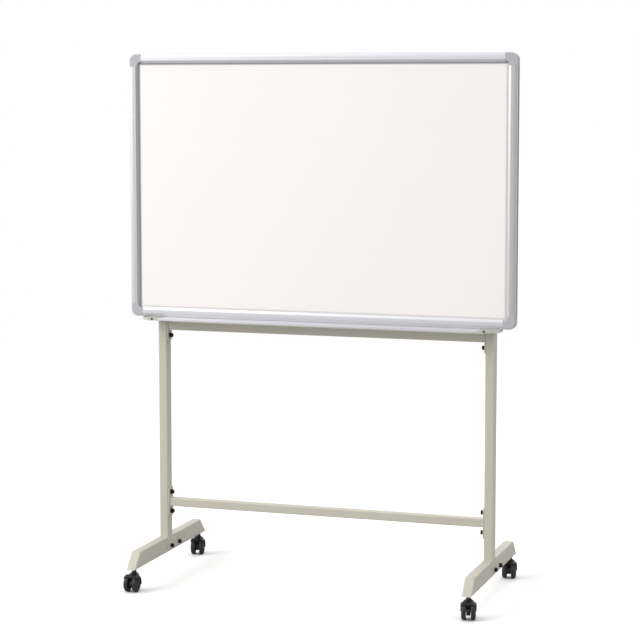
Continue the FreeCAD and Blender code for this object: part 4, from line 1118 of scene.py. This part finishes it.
@dataclass
class Fasteners(Assembly):
    """The screws and bolts, each kind one piece of detailed cap screws.

    Attributes:
        rim_share: The rounding of a head's rim, as a share of its radius.
        socket_share: The corner radius of the hexagon socket, as a share of the head's radius.
        socket_depth_share: The socket's depth, as a share of the head's height.
    """

    rim_share: float = 0.1
    socket_share: float = 0.5
    socket_depth_share: float = 0.55

    def build(self) -> None:
        """Replaces each CAD node of plain screws by detailed ones."""
        self._kind("crossbar_bolts", "black_oxide", knurls=28, knurl_depth=0.035)
        self._kind("foot_bolts", "black_oxide", knurls=24, knurl_depth=0.035)
        self._kind("bracket_screws", "zinc_plate", knurls=20, knurl_depth=0.0)
        self._kind("tray_screws", "dark_screw", knurls=20, knurl_depth=0.0)

    def _kind(self, node: str, finish: str, knurls: int, knurl_depth: float) -> None:
        """Sets out one piece for each head size that a CAD node has.

        Args:
            node: The CAD node of plain screws.
            finish: The name of their finish.
            knurls: How many knurls a head has.
            knurl_depth: How deep they are, as a share of the head's radius.
        """
        sizes: dict[float, list[Screw]] = {}
        for screw in self._screws(node):
            sizes.setdefault(round(screw.head_radius / MM, 1), []).append(screw)
        for number, (_, screws) in enumerate(sorted(sizes.items()), start=1):
            name = f"{node}_detailed" if len(sizes) == 1 else f"{node}_detailed_{number}"
            one = screws[0]
            start = points_mesh(f"{name}_points", [s.seat for s in screws], [s.facing for s in screws])
            mesh = grown_mesh(name, start, [(self.shop.trees.cap_screws, {
                "Head Radius": one.head_radius, "Head Height": one.head_height,
                "Rim Round": one.head_radius * self.rim_share,
                "Socket Radius": one.head_radius * self.socket_share,
                "Socket Depth": one.head_height * self.socket_depth_share,
                "Shank Radius": one.shank_radius, "Shank Length": one.shank_length,
                "Knurls": knurls, "Knurl Depth": knurl_depth, "Finish": self.shop.materials[finish],
            })])
            self.shop.set_out(name, mesh, finish, STAND, [node] if number == 1 else [])

    @staticmethod
    def _screws(node: str) -> list[Screw]:
        """Takes a CAD node's mesh apart into its separate screws."""
        shape = bmesh.new()
        shape.from_mesh(frame["nodes"][node].data)
        bmesh.ops.remove_doubles(shape, verts=shape.verts, dist=SAME_POINT)
        waiting, screws = set(shape.verts), []
        while waiting:
            island, edge = set(), [waiting.pop()]
            while edge:
                vert = edge.pop()
                island.add(vert)
                nearby = {link.other_vert(vert) for link in vert.link_edges} & waiting
                waiting -= nearby
                edge.extend(nearby)
            screws.append(Screw.from_points(np.array([tuple(v.co) for v in island])))
        shape.free()
        return sorted(screws, key=lambda s: tuple(s.seat))


@dataclass
class Casters(Assembly):
    """Four twin-wheel casters with detailed wheels and a flared neck.

    Attributes:
        names: Where the casters are.
        segments: How many segments a turn has.
        tread_round: The rounding between the tread and the outer face.
        crown: How far the tread ends short of the outer face.
        inner_round: The rounding between the tread and the inner face.
        rim: The width of the rim's ring.
        ring_round: The rounding of the ring's inner edge.
        dish: The depth of the outer dish.
        slope: How far the dish's and the well's walls lean.
        edge_round: The rounding of the smaller edges.
        cap_radius: The radius of the wheel's centre cap.
        cap_round: The rounding of the cap.
        hub_radius: The radius of the hub on the inner face.
        well: The depth of the inner face's well.
        bore: The radius of the axle's bore.
        end_wall: The wall that closes the bore.
        ribs: How many ribs each face has.
        rib_width: How thick a rib is.
        rib_sink: How far a rib runs into what it meets.
        rib_start: How far an inner rib stays below the inner face.
        flare_bore: The inner radius of the flare round the hood's neck.
        flare_radius: The flare's radius at its foot.
        flare_depth: How far its foot is below the neck's top.
        flare_top: How far its top is below the neck's top.
        flare_lip: How thick it is there.
        flare_waist: How far its waist is out from the bore, and how far below the neck's top.
        flare_curve: The radius of the waist's curve.
        flare_rim: The height of its rim.
        flare_shoulder: The rounding of the rim's upper edge.
        flare_edge: The rounding of the rim's lower edge.
        flare_sink: How far its foot runs into the hood's crown.
        flare_front: The share of its width that it keeps on the side away from the axle.
    """

    names: tuple[str, ...] = ("front_left", "front_right", "rear_left", "rear_right")
    segments: int = 96
    tread_round: float = 7.0 * MM
    crown: float = 1.0 * MM
    inner_round: float = 3.0 * MM
    rim: float = 8.0 * MM
    ring_round: float = 0.5 * MM
    dish: float = 1.4 * MM
    slope: float = 0.8 * MM
    edge_round: float = 0.4 * MM
    cap_radius: float = 7.0 * MM
    cap_round: float = 0.8 * MM
    hub_radius: float = 6.5 * MM
    well: float = 3.0 * MM
    bore: float = 3.05 * MM
    end_wall: float = 3.0 * MM
    ribs: int = 12
    rib_width: float = 1.1 * MM
    rib_sink: float = 0.3 * MM
    rib_start: float = 0.4 * MM
    flare_bore: float = 5.5 * MM
    flare_radius: float = 15.0 * MM
    flare_depth: float = 17.0 * MM
    flare_top: float = 2.0 * MM
    flare_lip: float = 0.7 * MM
    flare_waist: tuple[float, float] = (1.5 * MM, 8.0 * MM)
    flare_curve: float = 8.0 * MM
    flare_rim: float = 3.2 * MM
    flare_shoulder: float = 2.0 * MM
    flare_edge: float = 1.0 * MM
    flare_sink: float = 0.9 * MM
    flare_front: float = 0.6

    def build(self) -> None:
        """Dresses the casters and sets out their wheels and flares."""
        for name in self.names:
            self.shop.dress("zinc_plate", f"caster_{name}_stem", f"caster_{name}_axle")
            self.shop.dress("caster_nylon", f"caster_{name}_hood")
        for joint in frame["joints"]:
            if joint["name"].endswith("_roll"):
                self._wheel(joint)
            if joint["name"].endswith("_left_roll"):
                self._neck_flare(joint)

    def _neck_flare(self, joint: dict[str, Any]) -> None:
        """Sets out the flare that joins a hood's neck to its crown.

        Args:
            joint: The rolling joint of the caster's left wheel, whose axis is the hood's.
        """
        swivel = joint["parent"]
        low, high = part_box(f"{swivel}_stem")
        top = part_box(f"{swivel}_hood")[1].z
        pivot, axis = Vector(joint["pos_m"]), Vector(joint["axis"]).normalized()
        stem = Vector(((low.x + high.x) / 2, (low.y + high.y) / 2, top))
        forward = square_to(axis, Vector((stem.x - pivot.x, stem.y - pivot.y, 0.0))).normalized()
        crown = max(square_to(axis, v.co - pivot).length
                    for v in frame["nodes"][f"{swivel}_hood"].data.vertices if v.co.z < pivot.z)
        mesh = spun_mesh(f"{swivel}_flare_mesh", self._flare_profile(), self.segments)
        for vert in mesh.vertices:
            ahead = vert.co.dot(forward)
            if ahead > 0:
                vert.co -= forward * ahead * (1.0 - self.flare_front) * self._share_out(vert.co)
            spot = vert.co + stem - pivot
            reach = square_to(axis, spot)
            if reach.length < crown - self.flare_sink:
                spot = spot.dot(axis) * axis + reach.normalized() * (crown - self.flare_sink)
            vert.co = spot + pivot
        self.shop.set_out(f"{swivel}_neck_flare", mesh, "caster_nylon", swivel)

    def _share_out(self, spot: Vector) -> float:
        """How far out a point of the flare is: 0 at its bore and 1 at its foot's rim."""
        return (math.hypot(spot.x, spot.y) - self.flare_bore) / (self.flare_radius - self.flare_bore)

    def _flare_profile(self) -> Profile:
        """The flare's section, as (radius, height above the neck's top), round from its bore."""
        top, foot = -self.flare_top, -self.flare_depth
        waist_out, waist_down = self.flare_waist
        return rounded_profile([
            (self.flare_bore, top), (self.flare_bore + self.flare_lip, top),
            (self.flare_bore + waist_out, -waist_down, self.flare_curve),
            (self.flare_radius, foot + self.flare_rim, self.flare_shoulder),
            (self.flare_radius, foot, self.flare_edge), (self.flare_bore, foot), (self.flare_bore, top),
        ])

    def _wheel(self, joint: dict[str, Any]) -> None:
        """Sets out the wheel that a rolling joint carries.

        Args:
            joint: The joint as the record has it.
        """
        node = joint["child"]
        pivot, axis = Vector(joint["pos_m"]), Vector(joint["axis"]).normalized()
        spots = [v.co - pivot for v in frame["nodes"][node].data.vertices]
        along = [spot.dot(axis) for spot in spots]
        outward = axis if sum(along) > 0 else -axis
        near = min(abs(a) for a in (min(along), max(along)))
        thick = max(along) - min(along)
        radius = max(square_to(axis, spot).length for spot in spots)
        start = spun_mesh(f"{node}_turned", self._profile(radius, thick), self.segments)
        mesh = grown_mesh(f"{node}_mesh", start, [
            self._ribs_between(self.cap_radius, radius - self.rim - self.rib_sink,
                               thick - self.dish - self.rib_sink, thick - self.dish / 2),
            self._ribs_between(self.hub_radius - self.rib_sink, radius - self.rim + self.rib_sink,
                               self.rib_start, self.well + self.rib_sink),
        ])
        turn = Vector((0, 0, 1)).rotation_difference(outward).to_matrix().to_4x4()
        mesh.transform(Matrix.Translation(pivot + outward * near) @ turn)
        self.shop.set_out(f"{node}_detailed", mesh, "wheel_nylon", node, [node])

    def _ribs_between(self, inner: float, outer: float, bottom: float,
                      top: float) -> tuple[bpy.types.NodeTree, dict[str, Any]]:
        """The ribs' tree with its inputs, for ribs between two radii and two heights."""
        return self.shop.trees.radial_ribs, {
            "Ribs": self.ribs, "Rib Width": self.rib_width, "Inner Radius": inner, "Outer Radius": outer,
            "Bottom": bottom, "Top": top, "Finish": self.shop.materials["wheel_nylon"],
        }

    def _profile(self, radius: float, thick: float) -> Profile:
        """A wheel's half section, as (radius, height above the inner face), round from bore to centre."""
        ring, floor = radius - self.rim, thick - self.dish
        return rounded_profile([
            (0.0, thick - self.end_wall), (self.bore, thick - self.end_wall), (self.bore, 0.0),
            (self.hub_radius, 0.0, self.edge_round), (self.hub_radius, self.well), (ring, self.well),
            (ring + self.slope, 0.0, self.edge_round), (radius, 0.0, self.inner_round),
            (radius, thick - self.crown, self.tread_round), (ring, thick, self.ring_round),
            (ring - self.slope, floor, self.edge_round),
            (self.cap_radius + self.slope, floor, self.edge_round), (self.cap_radius, thick, self.cap_round),
            (0.0, thick),
        ])


# ------------------------------------------------------------------ studio
@dataclass(frozen=True)
class SoftBox:
    """A square light that points at the object.

    Attributes:
        name: Its name.
        place: Where it stands.
        size: The length of its side.
        power: Its power in watts.
        colour: Its colour.
    """

    name: str
    place: tuple[float, float, float]
    size: float
    power: float
    colour: Colour = (1.0, 1.0, 1.0)

    def stand(self, target: Vector) -> None:
        """Sets the light up so that it points at a target."""
        lamp = bpy.data.lights.new(self.name, "AREA")
        lamp.shape = "SQUARE"
        lamp.size, lamp.energy, lamp.color = self.size, self.power, self.colour
        stand = placed(self.name, lamp)
        stand.location = self.place
        stand.rotation_euler = (target - stand.location).to_track_quat("-Z", "Y").to_euler()


@dataclass
class Studio:
    """A pale floor, soft lights and the camera.

    Attributes:
        lights: The softboxes.
        bright_way: The direction from which the surroundings are brightest.
        dim_at: How far a direction agrees with it where they are dimmest, from -1 to 1.
        bright_at: How far it agrees where they are brightest.
        sky_dim: Their least strength.
        sky_bright: Their greatest strength.
        floor_radius: The radius of the floor.
        floor_sides: How many sides it has.
        floor_tone: The floor's colour near the object.
        bounce_tone: The darker colour with which the floor lights the object.
        fade_start: Where the floor begins to fade into the surroundings.
        fade_end: Where it has faded.
        camera_place: Where the camera stands.
        azimuth: The way the camera looks, in degrees to the left of +Y.
        dip: How far it looks down, in degrees.
        lens: Its focal length in millimetres.
        shift: Its upward shift, as a share of the view's width.
    """

    lights: tuple[SoftBox, ...] = (
        SoftBox("key_softbox", (-4.9, -3.3, 3.6), 4.0, 268.0),
        SoftBox("fill_softbox", (7.5, -0.5, 1.4), 7.0, 272.0),
        SoftBox("back_softbox", (0.5, 4.8, 4.2), 3.0, 110.0),
    )
    bright_way: tuple[float, float, float] = (-0.6, -0.3, 0.74)
    dim_at: float = -0.3
    bright_at: float = 0.6
    sky_dim: float = 0.2
    sky_bright: float = 1.05
    floor_radius: float = 40.0
    floor_sides: int = 128
    floor_tone: Colour = tone("F8F8F8")
    bounce_tone: Colour = (0.42, 0.42, 0.42)
    fade_start: float = 2.0
    fade_end: float = 6.0
    camera_place: tuple[float, float, float] = (1.8828, -5.7432, 1.4994)
    azimuth: float = 18.257
    dip: float = 5.82
    lens: float = 114.18
    shift: float = -0.04

    def build(self) -> None:
        """Sets the studio up."""
        low, high = CAD_BOX
        for light in self.lights:
            light.stand((low + high) / 2)
        self._surroundings()
        self._floor(low.z)
        self._camera()
        bpy.context.scene.view_settings.view_transform = "Standard"

    def _surroundings(self) -> None:
        """A world that is plain white when seen directly and lights the object mostly from one side."""
        world = bpy.data.worlds.new("white_surroundings")
        world.use_nodes = True
        bench = NodeBench(world.node_tree)
        way = bench.add("ShaderNodeTexCoord").outputs["Generated"]
        toward = bench.add("ShaderNodeVectorMath", {0: way, 1: self.bright_way}, operation="DOT_PRODUCT")
        glow = bench.ramp(toward.outputs["Value"], self.dim_at, self.bright_at, self.sky_dim,
                          self.sky_bright)
        seen = bench.add("ShaderNodeLightPath").outputs["Is Camera Ray"]
        hidden = bench.sum("SUBTRACT", 1.0, seen)
        strength = bench.sum("MULTIPLY_ADD", hidden, glow, seen)
        sky = bench.add("ShaderNodeBackground", {"Color": (1.0, 1.0, 1.0, 1.0), "Strength": strength})
        bench.add("ShaderNodeOutputWorld", {"Surface": sky})
        bpy.context.scene.world = world

    def _floor(self, level: float) -> None:
        """A round pale floor that fades into the surroundings."""
        shape = bmesh.new()
        bmesh.ops.create_circle(shape, cap_ends=True, radius=self.floor_radius,
                                segments=self.floor_sides)
        mesh = bpy.data.meshes.new("studio_floor")
        shape.to_mesh(mesh)
        shape.free()
        mesh.transform(Matrix.Translation((0, 0, level)))
        floor = placed("studio_floor", mesh)
        material = bpy.data.materials.new("pale_floor")
        material.use_nodes = True
        bench = NodeBench(material.node_tree)
        place = bench.add("ShaderNodeTexCoord").outputs["Object"]
        away = bench.add("ShaderNodeVectorMath", {0: place}, operation="LENGTH").outputs["Value"]
        fade = bench.ramp(away, self.fade_start, self.fade_end)
        seen = bench.add("ShaderNodeLightPath").outputs["Is Camera Ray"]
        shade = bench.tint(seen, (*self.bounce_tone, 1.0), (*self.floor_tone, 1.0))
        near = bench.add("ShaderNodeBsdfDiffuse", {"Color": shade})
        far = bench.add("ShaderNodeBsdfTransparent")
        mixed = bench.add("ShaderNodeMixShader", {0: fade, 1: near, 2: far})
        bench.add("ShaderNodeOutputMaterial", {"Surface": mixed})
        mesh.materials.append(material)

    def _camera(self) -> None:
        """The camera at its viewing angle."""
        data = bpy.data.cameras.new("view_camera")
        data.lens, data.shift_y = self.lens, self.shift
        camera = placed("view_camera", data)
        camera.location = self.camera_place
        camera.rotation_euler = (math.radians(90.0 - self.dip), 0.0, math.radians(self.azimuth))
        bpy.context.scene.camera = camera


def main() -> None:
    """Builds each sub-assembly in turn, then the studio."""
    logging.basicConfig(level=logging.INFO, format="%(message)s")
    shop = Workshop()
    for assembly in (Board(shop), Stand(shop), Fasteners(shop), Casters(shop)):
        assembly.build()
    Studio().build()


if __name__ == "__main__":
    main()
